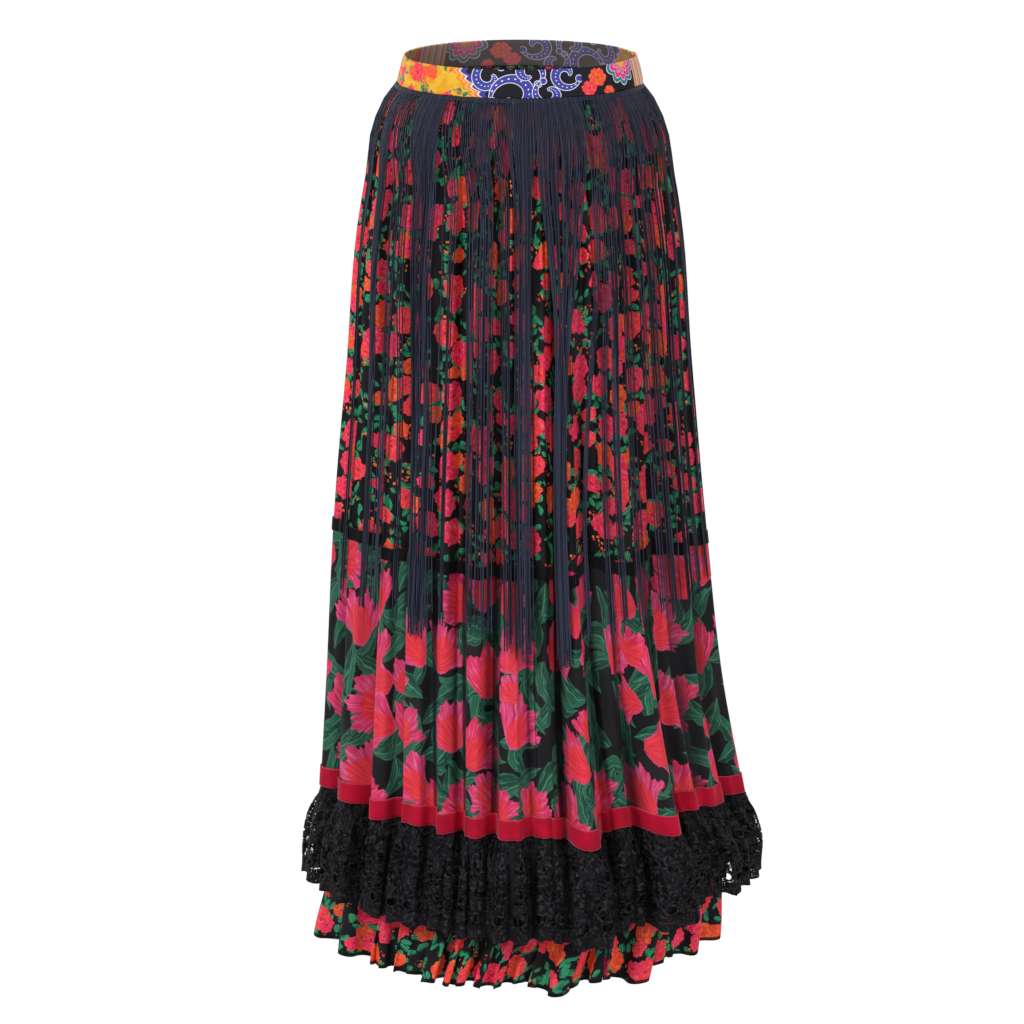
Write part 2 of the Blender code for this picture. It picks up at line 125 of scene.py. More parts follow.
# One row for each ring, down from the waist seam: its depth, the outline's half width and half depth, the
# shift of its middle to the wearer's left and to the back, the depth of a middling fold and of the gathers,
# the step forward of the wearer's left leg, the rise at the wearer's right and left side, and its share of
# the hems' lift.
Ring = namedtuple("Ring", "depth half_width half_depth left back fold gather step right_rise left_rise lift")
TIER_RINGS = [
    Ring(WAIST_SEAM, 0.1258, 0.0892, 0.0, 0.0, 0.0005, 0.0024, 0.0, 0.0, 0.0, 0.0),
    Ring(0.042, 0.1425, 0.106, 0.0, 0.003, 0.0025, 0.0034, 0.0, 0.0, 0.0, 0.0),
    Ring(0.125, 0.163, 0.127, 0.0, 0.008, 0.008, 0.0022, 0.02, 0.0, 0.0, 0.0),
    Ring(0.33, 0.1825, 0.152, 0.0, 0.007, 0.016, 0.0004, 0.05, 0.006, 0.0, 0.5),
    Ring(UPPER_TIER_HEM, 0.1975, 0.166, 0.001, 0.003, 0.022, 0.0, 0.07, 0.015, 0.003, 1.0),
    Ring(0.645, 0.21, 0.186, 0.005, 0.0, 0.029, 0.0, 0.09, 0.005, -0.006, 1.0),
    Ring(MIDDLE_TIER_HEM, 0.2265, 0.205, 0.0125, 0.0, 0.034, 0.0, 0.1, 0.006, -0.002, 1.0),
]
FLOUNCE_RINGS = [
    TIER_RINGS[-1],
    Ring(0.815, 0.238, 0.217, 0.0145, 0.0, 0.026, 0.0, 0.1, 0.006, -0.001, 1.0),
    Ring(LACE_HEM, 0.244, 0.224, 0.014, 0.0, 0.019, 0.0, 0.1, 0.012, 0.016, 1.0),
]
BOTTOM_RINGS = [
    Ring(0.788, 0.212, 0.1905, 0.012, 0.0, 0.026, 0.0, 0.1, -0.003, -0.013, 1.0),
    Ring(0.868, 0.211, 0.194, 0.005, 0.0, 0.024, 0.0, 0.09, -0.004, -0.01, 1.0),
    Ring(BOTTOM_TIER_HEM, 0.217, 0.199, -0.004, 0.0, 0.032, 0.0, 0.09, 0.002, -0.001, 1.0),
]

# The waistband's half width and half depth at its upper and its lower edge, the radius that its print is
# measured at, how far its middle bulges, the depth and number of the gathers' pulls on it, and its rounded
# edge. One row for each part: the angles where it starts and ends, how far out it laps, and the shift of its
# print.
BAND_HALF_WIDTHS = (0.119, 0.126)
BAND_HALF_DEPTHS = (0.084, 0.090)
BAND_RADIUS = 0.108
BAND_BULGE = 0.0006
BAND_PULL = 0.0005
BAND_PULLS = 23.0
BAND_EDGE = 0.0006
Band = namedtuple("Band", "node start end lap shift")
BANDS = [Band("waistband_front", -89.9, 103.0, LAP, 0.0), Band("waistband_back", 90.0, 269.9, 0.0, 0.40)]

# One row for each bundle of the fringe on the front, from the viewer's left: where it hangs high and low, in
# degrees, how many cords it has, how wide it is high and low, and the depths where it has closed and ends.
Bundle = namedtuple("Bundle", "high low cords wide_high wide_low closed end")
FRONT_BUNDLES = [
    Bundle(-73.0, -68.0, 6, 0.012, 0.007, 0.26, 0.548),
    Bundle(-59.5, -54.0, 8, 0.013, 0.008, 0.26, 0.552),
    Bundle(-48.5, -48.5, 5, 0.009, 0.008, 0.26, 0.556),
    Bundle(-45.0, -40.0, 3, 0.005, 0.006, 0.26, 0.556),
    Bundle(-36.2, -32.0, 24, 0.022, 0.02, 0.26, 0.568),
    Bundle(-24.0, -24.0, 5, 0.009, 0.005, 0.26, 0.56),
    Bundle(-16.4, -15.0, 7, 0.009, 0.009, 0.26, 0.558),
    Bundle(-11.6, -10.7, 10, 0.009, 0.012, 0.26, 0.562),
    Bundle(-4.7, -3.8, 6, 0.007, 0.008, 0.26, 0.574),
    Bundle(1.4, 0.7, 19, 0.013, 0.013, 0.26, 0.584),
    Bundle(15.4, 12.2, 32, 0.04, 0.009, 0.3, 0.592),
    Bundle(28.5, 20.0, 4, 0.007, 0.004, 0.5, 0.575),
    Bundle(31.5, 27.0, 3, 0.006, 0.006, 0.5, 0.57),
    Bundle(34.0, 31.5, 6, 0.009, 0.006, 0.26, 0.56),
    Bundle(38.5, 38.0, 5, 0.008, 0.006, 0.26, 0.556),
    Bundle(44.5, 46.5, 4, 0.008, 0.006, 0.26, 0.556),
    Bundle(50.5, 51.8, 10, 0.009, 0.009, 0.26, 0.556),
    Bundle(59.3, 60.2, 9, 0.012, 0.011, 0.26, 0.548),
    Bundle(69.0, 67.3, 5, 0.008, 0.006, 0.26, 0.545),
    Bundle(80.0, 78.0, 4, 0.01, 0.008, 0.26, 0.54),
]
BACK_BUNDLES = 13
BACK_BUNDLE_CORDS = (9, 6, 11, 7, 8)
BACK_BUNDLES_FROM = 97.0
BACK_BUNDLES_TO = 258.0
CORD_POINTS = 26
HEADING_POINTS = 240
CORD_SEED = 11

# The depths at which a cord's way is worked out, besides its end; how far it stands off the outline at some
# depths; its share of an even spread at the waist; and how many of the cords stray.
CORD_LEVELS = (0.015, 0.023, 0.042, 0.075, 0.11, 0.15, 0.20, 0.25, 0.30, 0.37, 0.45, 0.515)
CORD_OFF_AT = ([0.015, 0.023, 0.042, 0.10, 0.60], [0.0016, 0.0028, 0.0034, 0.0036, 0.0038])
EVEN_ROOTS = 0.40
STRAY_CORDS = 0.08
HEADING_LEVELS = (0.0152, 0.0165, 0.0178)
HEADING_OFF = 0.0019
HEADING_RADIUS = 0.0008
CORD_SIDES = 6

# One row for each listed crease: the depths where it starts and ends, its angle there, how far it is
# pressed in (or stands out, below 0), and its half width in degrees.
Crease = namedtuple("Crease", "top bottom top_angle bottom_angle inward width")
CREASES = [
    Crease(0.06, 0.5, -40.5, -39.4, 0.006, 2.2),
    Crease(0.1, 0.78, -22.0, -21.0, 0.007, 1.8),
    Crease(0.05, 0.5, -16.0, -17.5, 0.008, 1.8),
    Crease(0.16, 0.5, -5.5, -4.8, 0.005, 1.6),
    Crease(0.12, 0.78, 14.0, 10.6, 0.011, 2.2),
    Crease(0.3, 0.8, 21.5, 22.0, 0.009, 2.2),
    Crease(0.22, 0.88, 35.0, 32.5, 0.012, 2.6),
    Crease(0.3, 0.86, 51.5, 50.0, 0.011, 2.6),
    Crease(0.2, 0.9, -55.0, -52.5, 0.012, 2.8),
    Crease(0.45, 0.8, -33.0, -35.5, 0.005, 2.0),
    Crease(0.42, 0.78, -9.0, -10.5, 0.008, 1.8),
    Crease(0.5, 0.78, 4.2, 5.1, 0.006, 1.6),
    Crease(0.04, 0.4, 44.0, 43.0, 0.005, 2.4),
    Crease(0.05, 0.3, 62.0, 64.0, 0.006, 2.8),
    Crease(0.08, 0.46, 25.0, 26.0, -0.005, 2.4),
    Crease(0.12, 0.55, -30.0, -33.0, -0.006, 2.6),
    Crease(0.52, 0.79, 16.5, 15.0, -0.007, 3.2),
    Crease(0.52, 0.79, -45.0, -47.0, -0.006, 3.2),
    Crease(0.52, 0.79, 40.0, 40.5, -0.007, 3.4),
    Crease(0.6, 0.8, -25.0, -24.5, -0.005, 2.2),
    Crease(0.55, 0.79, 68.0, 66.0, 0.007, 2.8),
    Crease(0.3, 0.62, -66.0, -64.0, 0.006, 2.8),
]
CREASE_STRENGTH = 1.25
BACK_CREASES = 20

# Fine gathers: how many go round the skirt, their depth and how far they drift on the way down
Gather = namedtuple("Gather", "count height drift")
GATHERS = [Gather(61, 0.0013, 3.0), Gather(83, 0.0011, -5.0), Gather(104, 0.0009, 4.0)]

# Puckers at a seam: the seam's depth, their reach up and down, their depth and how many each fold has
Pucker = namedtuple("Pucker", "seam reach height count")
TIER_PUCKERS = [
    Pucker(WAIST_SEAM, 0.07, 0.0012, 4),
    Pucker(UPPER_TIER_HEM, 0.06, 0.0018, 4),
    Pucker(MIDDLE_TIER_HEM, 0.05, 0.0020, 4),
]
LACE_PUCKERS = [Pucker(MIDDLE_TIER_HEM, 0.045, 0.0022, 6)]

# Flutes of the skirt's hem: how many, how deep, where they start, and how far they swing sideways for their
# depth, at the hem's mean radius
FLUTES = 41
FLUTE_DEPTH = 0.0070
FLUTES_FROM = 0.85
FLUTE_SWING = 0.45
HEM_RADIUS = 0.21


def back_crease(index):
    """Creases like the front's, for the sides and the back."""
    angle = 92.0 + 9.0 * index + 3.0 * math.sin(2.3 * index)
    low_angle = angle + 1.5 * math.sin(3.1 * index)
    top = 0.06 + 0.22 * abs(math.sin(1.3 * index))
    bottom = 0.56 + 0.30 * abs(math.cos(0.9 * index))
    inward = 0.009 * math.sin(1.7 * index + 0.6) + 0.002
    return Crease(top, bottom, angle, low_angle, inward, 2.2 + 0.6 * math.cos(2.0 * index))


def back_fold(index):
    """Folds like the front's, for the back."""
    line = 90.0 + 180.0 * index / BACK_FOLDS
    if index > 0:
        line += 2.6 * math.sin(2.1 * index)
    crest = 0.005 + 0.005 * math.sin(1.7 * index)
    return Fold(line, line, line + 1.5 * math.sin(1.3 * index), crest, crest + 0.004, 0.004)


CREASES += [back_crease(index) for index in range(BACK_CREASES)]
FOLDS = FRONT_FOLDS + [back_fold(index) for index in range(BACK_FOLDS)]
FOLD_TABLE = Fold(*np.array(FOLDS).T)
FRONT_COLUMNS = len(FRONT_FOLDS) * COLUMNS
ALL_COLUMNS = len(FOLDS) * COLUMNS
SEAM_COLUMNS = round(COLUMNS * SEAM_SHARE)

# For each column of the cloth: its fold, how far across that fold it lies, and how far round the skirt
FOLD_OF = np.repeat(np.arange(len(FOLDS)), COLUMNS)
ACROSS_FOLD = np.tile(np.arange(COLUMNS) / COLUMNS, len(FOLDS))
ROUND_SKIRT = math.tau * np.arange(ALL_COLUMNS) / ALL_COLUMNS


def mix(first, second, share):
    return first + (second - first) * share


def ease(x, low, high):
    """From 0 at low to 1 at high, smoothly."""
    t = np.clip((x - low) / (high - low), 0, 1)
    return t * t * (3 - 2 * t)


def uneven(count, seed, low, high):
    """Random numbers, the same in every run."""
    return np.random.default_rng(seed).uniform(low, high, count)


def smooth_through(x, knots, values):
    """A smooth curve through points, read at x."""
    slopes = np.gradient(values, knots)
    place = np.clip(np.searchsorted(knots, x) - 1, 0, len(knots) - 2)
    run = knots[place + 1] - knots[place]
    t = np.clip((x - knots[place]) / run, 0, 1)
    rise = values[place + 1] - values[place]
    start = slopes[place] * run
    end = slopes[place + 1] * run
    return values[place] + t * start + t * t * (3 * rise - 2 * start - end) + t**3 * (start + end - 2 * rise)


def rings_at(rings, depths):
    """A ring table's columns on smooth curves: one array for each name, with a row for each depth."""
    knots, *columns = np.array(rings).T
    return Ring(depths[:, None], *(smooth_through(depths, knots, column)[:, None] for column in columns))


def fold_lines(depths):
    """The angle of every valley line at each depth, and once more the first, a turn further on."""
    knots = [UPPER_TIER_HEM, MIDDLE_TIER_HEM, LACE_HEM, BOTTOM_TIER_HEM]
    lines = [
        np.interp(depths, knots, [fold.at_upper_hem, fold.at_ribbon, fold.at_ribbon, fold.at_bottom_hem])
        for fold in FOLDS
    ]
    return np.stack([*lines, lines[0] + 360.0], axis=1)


def fold_widths(lines):
    """How wide each fold is, for a mean of 1."""
    return np.diff(lines, axis=1) * len(FOLDS) / 360.0


def outline(ring, angle, inward):
    """Points of an outline at angles in degrees, moved inward along its normal."""
    across = np.sin(np.radians(angle))
    along = -np.cos(np.radians(angle))
    step = 1.0 + ring.step * across * np.maximum(0.0, -along)
    normal_x = across / ring.half_width
    normal_y = along / ring.half_depth
    norm = np.hypot(normal_x, normal_y)
    x = ring.left + ring.half_width * across - inward * normal_x / norm
    y = ring.back + ring.half_depth * along * step - inward * normal_y / norm
    return np.stack([x, y, np.broadcast_to(-ring.depth, x.shape)], axis=2)


def folded_in(ring, lines, crest):
    """The folds' own depth: the valleys reach inward, and the crests lie where the table puts them."""
    width = fold_widths(lines)
    deep = np.minimum(DEEPEST_FOLD, np.minimum(width, np.roll(width, 1, axis=1)))
    deep = np.concatenate([deep, deep[:, :1]], axis=1)
    valley = np.where(ACROSS_FOLD < 0.5, deep[:, FOLD_OF], deep[:, FOLD_OF + 1])
    above = FOLD_TABLE.crest_back[FOLD_OF] * np.minimum(1.0, ring.depth / UPPER_TIER_HEM)
    hem = np.clip((ring.depth - LACE_HEM) / (BOTTOM_TIER_HEM - LACE_HEM), 0, 1)
    return ring.fold * valley * (1.0 - crest) + mix(above, FOLD_TABLE.hem_back[FOLD_OF], hem) * crest


def waist_gathers(ring):
    count = len(FOLDS) * WAIST_GATHERS
    which = (np.arange(ALL_COLUMNS) * count + ALL_COLUMNS // 2) // ALL_COLUMNS % count
    height = ring.gather * uneven(count, 3, 0.55, 1.15)[which]
    return height * (0.5 + 0.5 * np.cos(math.tau * WAIST_GATHERS * ACROSS_FOLD))


def fine_gathers(ring):
    swell = 0.65 + 0.35 * np.sin(7 * ROUND_SKIRT + 1.0) * np.sin(4 * ROUND_SKIRT + 0.3)
    return swell * sum(
        gather.height * np.sin(gather.count * (ROUND_SKIRT + 1.7) + gather.drift * ring.depth)
        for gather in GATHERS
    )


def creases(ring, angle):
    inward = 0.0
    for crease in CREASES:
        shown = ease(ring.depth, crease.top - 0.02, crease.top + 0.10)
        shown = shown * (1 - ease(ring.depth, crease.bottom, crease.bottom + 0.05))
        down = np.clip((ring.depth - crease.top) / (crease.bottom - crease.top), 0, 1)
        aside = (angle - mix(crease.top_angle, crease.bottom_angle, down)) / crease.width
        inward = inward + CREASE_STRENGTH * crease.inward * shown * np.exp(-aside * aside)
    return inward


def puckered(ring, pucker):
    heights = uneven(len(FOLDS) * pucker.count, int(pucker.seam * 1000), 0.3, 1.0) * pucker.height
    which = np.arange(ALL_COLUMNS) * len(heights) // ALL_COLUMNS
    fade = np.exp(-(((ring.depth - pucker.seam) / pucker.reach) ** 2))
    return fade * heights[which] * np.sin(np.pi * pucker.count * ACROSS_FOLD) ** 2


def hem_flutes(ring):
    """The lobes of the skirt's hem: how far they stand out, and how far round they swing, in degrees."""
    grown = ease(ring.depth, FLUTES_FROM, BOTTOM_TIER_HEM) * (0.75 + 0.25 * np.sin(5 * ROUND_SKIRT + 0.5))
    phase = FLUTES * ROUND_SKIRT + 1.6 * np.sin(3 * ROUND_SKIRT) + 0.8 * np.sin(7 * ROUND_SKIRT + 1.0)
    swing = np.degrees(FLUTE_DEPTH * FLUTE_SWING / HEM_RADIUS)
    return FLUTE_DEPTH * grown * np.cos(phase), swing * grown * np.sin(2 * phase)


def cloth(rings, depths, puckers=(), fine=1.0, fluted=False):
    """The folded cloth as rows and columns of points.

    fine is the strength of the fine gathers, one number or one for each row. fluted gives it the skirt's hem.
    """
    depths = np.asarray(depths, float)
    ring = rings_at(rings, depths)
    lines = fold_lines(depths)
    crest = (0.5 - 0.5 * np.cos(math.tau * ACROSS_FOLD)) ** CREST_SHARPNESS
    rounder = ROUNDNESS * np.minimum(1.0, ring.fold / FULL_FOLD) * np.sin(2 * math.tau * ACROSS_FOLD)
    angle = mix(lines[:, FOLD_OF], lines[:, FOLD_OF + 1], ACROSS_FOLD + rounder)
    inward = folded_in(ring, lines, crest) + waist_gathers(ring) + creases(ring, angle)
    inward = inward + fine_gathers(ring) * np.broadcast_to(fine, depths.shape)[:, None]
    if fluted:
        out, swing = hem_flutes(ring)
        inward = inward - out
        angle = angle + swing
    for pucker in puckers:
        inward = inward + puckered(ring, pucker)
    lifts = FOLD_TABLE.lift
    beside = np.where(ACROSS_FOLD < 0.5, np.roll(lifts, 1)[FOLD_OF], np.roll(lifts, -1)[FOLD_OF])
    sideways = np.sin(np.radians(angle))
    points = outline(ring, angle, inward)
    points[:, :, 2] += mix((lifts[FOLD_OF] + beside) / 2, lifts[FOLD_OF], crest) * ring.lift
    points[:, :, 2] += sideways**2 * np.where(sideways < 0, ring.right_rise, ring.left_rise)
    return points


def outward(points):
    """The horizontal direction out of each point of closed rows."""
    run = np.roll(points, -1, axis=1) - np.roll(points, 1, axis=1)
    normal = np.stack([run[..., 1], -run[..., 0], np.zeros(run.shape[:2])], axis=2)
    return normal / np.linalg.norm(normal, axis=2, keepdims=True)


def moved_out(points, distance):
    """Closed rows of points moved out by one distance, or by one for each row and column."""
    return points + outward(points) * np.broadcast_to(distance, points.shape[:2])[..., None]


def maths(operation):
    """A method of a shader socket that adds one Math node."""

    def method(self, *values):
        inputs = dict(enumerate((self, *values)))
        return self.paint.node("ShaderNodeMath", {"operation": operation}, inputs)

    return method


class Socket:
    """A shader socket that takes part in Python expressions."""

    def __init__(self, paint, socket):
        self.paint = paint
        self.socket = socket

    __add__ = __radd__ = maths("ADD")
    __sub__ = maths("SUBTRACT")
    __mul__ = __rmul__ = maths("MULTIPLY")
    __truediv__ = maths("DIVIDE")
    __pow__ = maths("POWER")
    __abs__ = maths("ABSOLUTE")
    root = maths("SQRT")
    sine = maths("SINE")
    cosine = maths("COSINE")
    turn_from = maths("ARCTAN2")
    fraction = maths("FRACT")
    above = maths("GREATER_THAN")
    lower = maths("MINIMUM")
    higher = maths("MAXIMUM")

    def __rsub__(self, other):
        return self.paint.node("ShaderNodeMath", {"operation": "SUBTRACT"}, {0: other, 1: self})

    def step(self, low, high, start=0.0, end=1.0):
        """From start where the value is low to end where it is high, smoothly."""
        inputs = dict(enumerate((self, low, high, start, end)))
        return self.paint.node("ShaderNodeMapRange", {"interpolation_type": "SMOOTHSTEP"}, inputs)

    def fade(self, low, high):
        return self.step(low, high, 1.0, 0.0)

    def near(self, value, inner, outer):
        """1 close to a value, and 0 further from it than outer."""
        return abs(self - value).fade(inner, outer)

    def humps(self):
        return abs(self.sine())

    def teeth(self):
        """From 1 at whole numbers straight down to 0 between them."""
        return abs(self.fraction() - 0.5) * 2.0


def length(x, y):
    return (x * x + y * y).root()


def polar(x, y):
    """How far a point is from the middle, and how far round it."""
    return length(x, y), y.turn_from(x)


class Paint:
    """A material and its Principled shader, with one method that adds any node."""

    def __init__(self, name, roughness, shine=0.12, **constants):
        self.material = bpy.data.materials.new(name)
        self.material.use_nodes = True
        self.tree = self.material.node_tree
        self.shader = self.tree.nodes["Principled BSDF"]
        for socket, value in {"Roughness": roughness, "Specular_IOR_Level": shine, **constants}.items():
            self.shader.inputs[socket.replace("_", " ")].default_value = value

    def node(self, kind, settings=None, inputs=None, outputs=(0,)):
        """Adds a node, with its settings and its sockets' values or links. Returns the outputs named."""
        made = self.tree.nodes.new(kind)
        for name, value in (settings or {}).items():
            setattr(made, name, value)
        for name, value in (inputs or {}).items():
            if isinstance(value, Socket):
                self.tree.links.new(value.socket, made.inputs[name])
            else:
                made.inputs[name].default_value = value
        found = [Socket(self, made.outputs[output]) for output in outputs]
        return found if len(found) > 1 else found[0]

    def set(self, **links):
        """Links sockets to the shader's. Returns the material."""
        for name, value in links.items():
            self.tree.links.new(value.socket, self.shader.inputs[name.replace("_", " ")])
        return self.material

    def parts(self, vector, outputs=(0, 1)):
        return self.node("ShaderNodeSeparateXYZ", {}, {0: vector}, outputs)

    def place_on(self, map_name):
        """Where a point lies on one of the cloth's maps: across and down."""
        return self.parts(self.node("ShaderNodeUVMap", {"uv_map": map_name}))

    def vector(self, x, y):
        return self.node("ShaderNodeCombineXYZ", {}, {0: x, 1: y})

    def over(self, colour, *layers):
        """A colour with others laid over it. Each layer is its share and its colour, a tuple or a socket."""
        for share, tint in layers:
            under, tint = ((*c, 1.0) if isinstance(c, tuple) else c for c in (colour, tint))
            inputs = {0: share, 6: under, 7: tint}
            colour = self.node("ShaderNodeMix", {"data_type": "RGBA"}, inputs, (2,))
        return colour

    def noise(self, x, y, scale, detail=2.0, rough=0.5):
        inputs = {"Vector": self.vector(x, y), "Scale": scale, "Detail": detail, "Roughness": rough}
        return self.node("ShaderNodeTexNoise", {"noise_dimensions": "2D"}, inputs)

    def cells(self, x, y, randomness):
        """The nearest cell of a scattered pattern: place in it across and down, and three random numbers."""
        point = self.vector(x, y)
        inputs = {"Vector": point, "Scale": 1.0, "Randomness": randomness}
        settings = {"voronoi_dimensions": "2D"}
        centre, colour = self.node("ShaderNodeTexVoronoi", settings, inputs, ("Position", "Color"))
        away = self.node("ShaderNodeVectorMath", {"operation": "SUBTRACT"}, {0: point, 1: centre})
        return *self.parts(away), self.node("ShaderNodeSeparateColor", {}, {0: colour}, (0, 1, 2))

    def turned(self, x, y, angle):
        """x and y turned by an angle in radians, which may vary."""
        if isinstance(angle, Socket):
            cosine = angle.cosine()
            sine = angle.sine()
        else:
            cosine = math.cos(angle)
            sine = math.sin(angle)
        return x * cosine + y * sine, y * cosine - x * sine

    def turned_cells(self, x, y, randomness):
        """The nearest cell, turned by its first random number."""
        across, down, chance = self.cells(x, y, randomness)
        return *self.turned(across, down, chance[0] * math.tau), chance

    def bump(self, height, strength):
        inputs = {"Strength": strength, "Distance": 1.0, "Height": height}
        self.set(Normal=self.node("ShaderNodeBump", {}, inputs))

    def weave(self, x, y, pitch, strength=0.25, extra=0.0):
        """A fine plain weave, with any other height in metres, as a bump. Returns its threads, -1 to 1."""
        threads = (x * (math.tau / pitch)).sine() * (y * (math.tau / pitch)).sine()
        self.bump(threads * (pitch * 0.1) + extra, strength)
        return threads


BLACK = (0.006, 0.006, 0.008)
WHITE = (0.78, 0.76, 0.82)
DEEP_INDIGO = (0.045, 0.050, 0.30)
INDIGO = (0.050, 0.055, 0.33)


def rose(paint, x, y, radius, chance, orange):
    """One rose with scalloped petals round a curled heart. Returns its colour and where it is."""
    x, y = paint.turned(x, y, chance[0] * math.tau)
    around = y.turn_from(x)
    lobes = (around * 3.0 + chance[2] * 9.0).humps() * 0.15 + (around * 5.5 + chance[1] * 7.0).humps() * 0.10
    depth = length(x, y * 1.1) / (radius * (lobes + 0.84))
    curl = depth * 2.6 + around / math.tau + (around * 4.0 + chance[1] * 6.0).sine() * 0.16 + chance[0]
    line = curl.teeth()
    grain = paint.noise(x * 9.0 + chance[1] * 30.0, y * 9.0, 1.0)
    pink_or_red = (chance[2].step(0.35, 0.45), (0.92, 0.044, 0.052))
    base = paint.over((0.90, 0.028, 0.092), pink_or_red, (orange, (0.90, 0.075, 0.036)))
    light = paint.over((0.95, 0.17, 0.26), (orange, (0.95, 0.30, 0.07)))
    dark = paint.over((0.42, 0.004, 0.025), (orange, (0.62, 0.030, 0.008)))
    made = paint.over(
        base,
        (line.step(0.05, 0.5) * grain.step(0.47, 0.64) * 0.60, light),
        (line.step(0.80, 0.97) * grain.fade(0.42, 0.60) * 0.75, dark),
        (depth.fade(0.10, 0.22) * 0.7, dark),
    )
    return made, depth.fade(0.95, 1.02)


def rose_leaf(paint, x, y, chance):
    """A pair of small leaves. Returns their colour and where they are."""
    side = (abs(x) - 0.25) / 0.23
    across = (y - abs(x) * 0.25) / 0.15
    green = paint.over(
        (0.008, 0.200, 0.075),
        (chance[2], (0.008, 0.160, 0.100)),
        (across.step(0.1, 0.9) * 0.8, (0.045, 0.42, 0.19)),
        (across.fade(-0.9, -0.3) * 0.6, (0.003, 0.05, 0.03)),
        (abs(across).fade(0.05, 0.20) * 0.7, (0.10, 0.44, 0.22)),
    )
    return green, (side * side + abs(across) ** 1.6).fade(0.80, 1.0) * chance[1].above(0.31)


def roses(paint, x, y, size):
    """Scattered small roses with leaves and berries. Returns their colour and where there are any."""
    wobble = (paint.noise(x, y, 2.0 / size, 1.0) - 0.5) * (0.24 * size)
    x = (x + wobble) / size
    y = (y + wobble * 0.8) / size
    colour = BLACK
    cover = 0.0
    for seed, grain in ((2.6, 1.30), (5.2, 1.45), (8.1, 1.60)):
        green, leaf = rose_leaf(paint, *paint.turned_cells(x * grain + seed, y * grain + seed * 0.6, 0.95))
        colour = paint.over(colour, (leaf, green))
        cover = leaf.higher(cover)
    across, down, chance = paint.cells(x * 7.0, y * 7.0, 0.8)
    clusters = paint.noise(x + 7.0, y, 1.9, 1.0).step(0.58, 0.61)
    berry = length(across, down).fade(0.26, 0.34) * chance[0].above(0.36) * clusters
    berries = paint.over((0.62, 0.05, 0.06), (chance[1].step(0.4, 0.6), (0.88, 0.22, 0.04)))
    colour = paint.over(colour, (berry, berries))
    cover = cover.higher(berry)
    for seed, grain, least, kept in ((0.0, 1.0, 0.35, 0.30), (4.7, 1.5, 0.33, 0.66)):
        across, down, chance = paint.cells(x * grain + seed, y * grain + seed * 0.4, 0.72)
        bloom, where = rose(paint, across, down, chance[1] * 0.10 + least, chance, chance[2].above(0.73))
        where = where * chance[1].above(kept)
        colour = paint.over(colour, (where, bloom))
        cover = cover.higher(where)
    return colour, cover


def long_leaf(paint, x, y, bend, chance, fray):
    """One long bent leaf with a pale rib. Returns its colour and where it is."""
    across = x + (y * y * bend - 0.05)
    share = across / ((1.0 - (y / 0.47) ** 2.0).higher(0.001) * 0.175)
    streak = paint.noise(share * 3.0 + chance[1] * 9.0, y * 3.0, 1.6)
    green = paint.over(
        (0.006, 0.050, 0.034),
        (share.step(-0.5, 0.3), (0.014, 0.098, 0.058)),
        (streak.step(0.56, 0.64) * 0.7, (0.045, 0.19, 0.11)),
        (abs(share).near(0.82, 0.04, 0.12) * 0.25, (0.08, 0.24, 0.14)),
        (abs(across).fade(0.003, 0.014) * 0.65, (0.11, 0.29, 0.17)),
    )
    return green, (abs(share) + fray * 0.3).fade(0.88, 1.0)


def tulip(paint, x, y, chance, fray):
    """One flower: a ragged fan of pink petals round a red heart. Returns its colour and where it is."""
    x, y = paint.turned(x, y * -1.0, (chance[0] - 0.5) * 3.0)
    away, lean = polar(y + 0.37, x)
    side = abs(lean) / 0.90
    tips = (lean * 1.9 + chance[1] * 3.0).teeth()
    small = (lean * 6.3 + chance[2] * 5.0).teeth()
    reach = (tips * 0.15 + small * 0.06 + 0.62) * (1.0 - side * side * 0.18)
    fan = (away / reach + fray * 0.08).fade(0.96, 1.0) * side.fade(0.94, 1.02)
    wide = (x / (chance[2] * 0.09 + 0.19)) ** 2.0
    middle = wide + ((y + 0.07) / (chance[2] * 0.04 + 0.26)) ** 2.0
    heart = (middle + fray * 0.2).fade(0.92, 1.0)
    streak = paint.noise(lean * 5.0 + chance[1] * 20.0, away * 1.3, 2.6, 3.0, 0.6)
    red = paint.over(
        (0.70, 0.022, 0.046),
        (streak.step(0.42, 0.62), (0.78, 0.055, 0.070)),
        (middle.near(0.80, 0.03, 0.14) * 0.25, (0.60, 0.010, 0.06)),
    )
    made = paint.over(
        (0.68, 0.050, 0.175),
        (chance[1].step(0.3, 0.7), (0.68, 0.028, 0.105)),
        (streak.step(0.50, 0.66) * 0.55, (0.80, 0.19, 0.33)),
        (streak.fade(0.32, 0.46) * 0.55, (0.46, 0.012, 0.070)),
        (tips.fade(0.02, 0.20) * away.step(0.2, 0.4) * 0.7, (0.30, 0.008, 0.05)),
        (heart * middle.fade(0.60, 1.04), red),
    )
    return made, fan.higher(heart)


# One row for each layer of the tulips' leaves: its seed, the room a leaf has, its bend, and the chance at
# which a leaf starts to show
TULIP_LEAVES = [
    (2.3, 0.060, 0.7, 0.05),
    (8.9, 0.054, -0.8, 0.08),
    (12.7, 0.070, -0.5, 0.10),
    (5.1, 0.064, 0.4, 0.10),
]


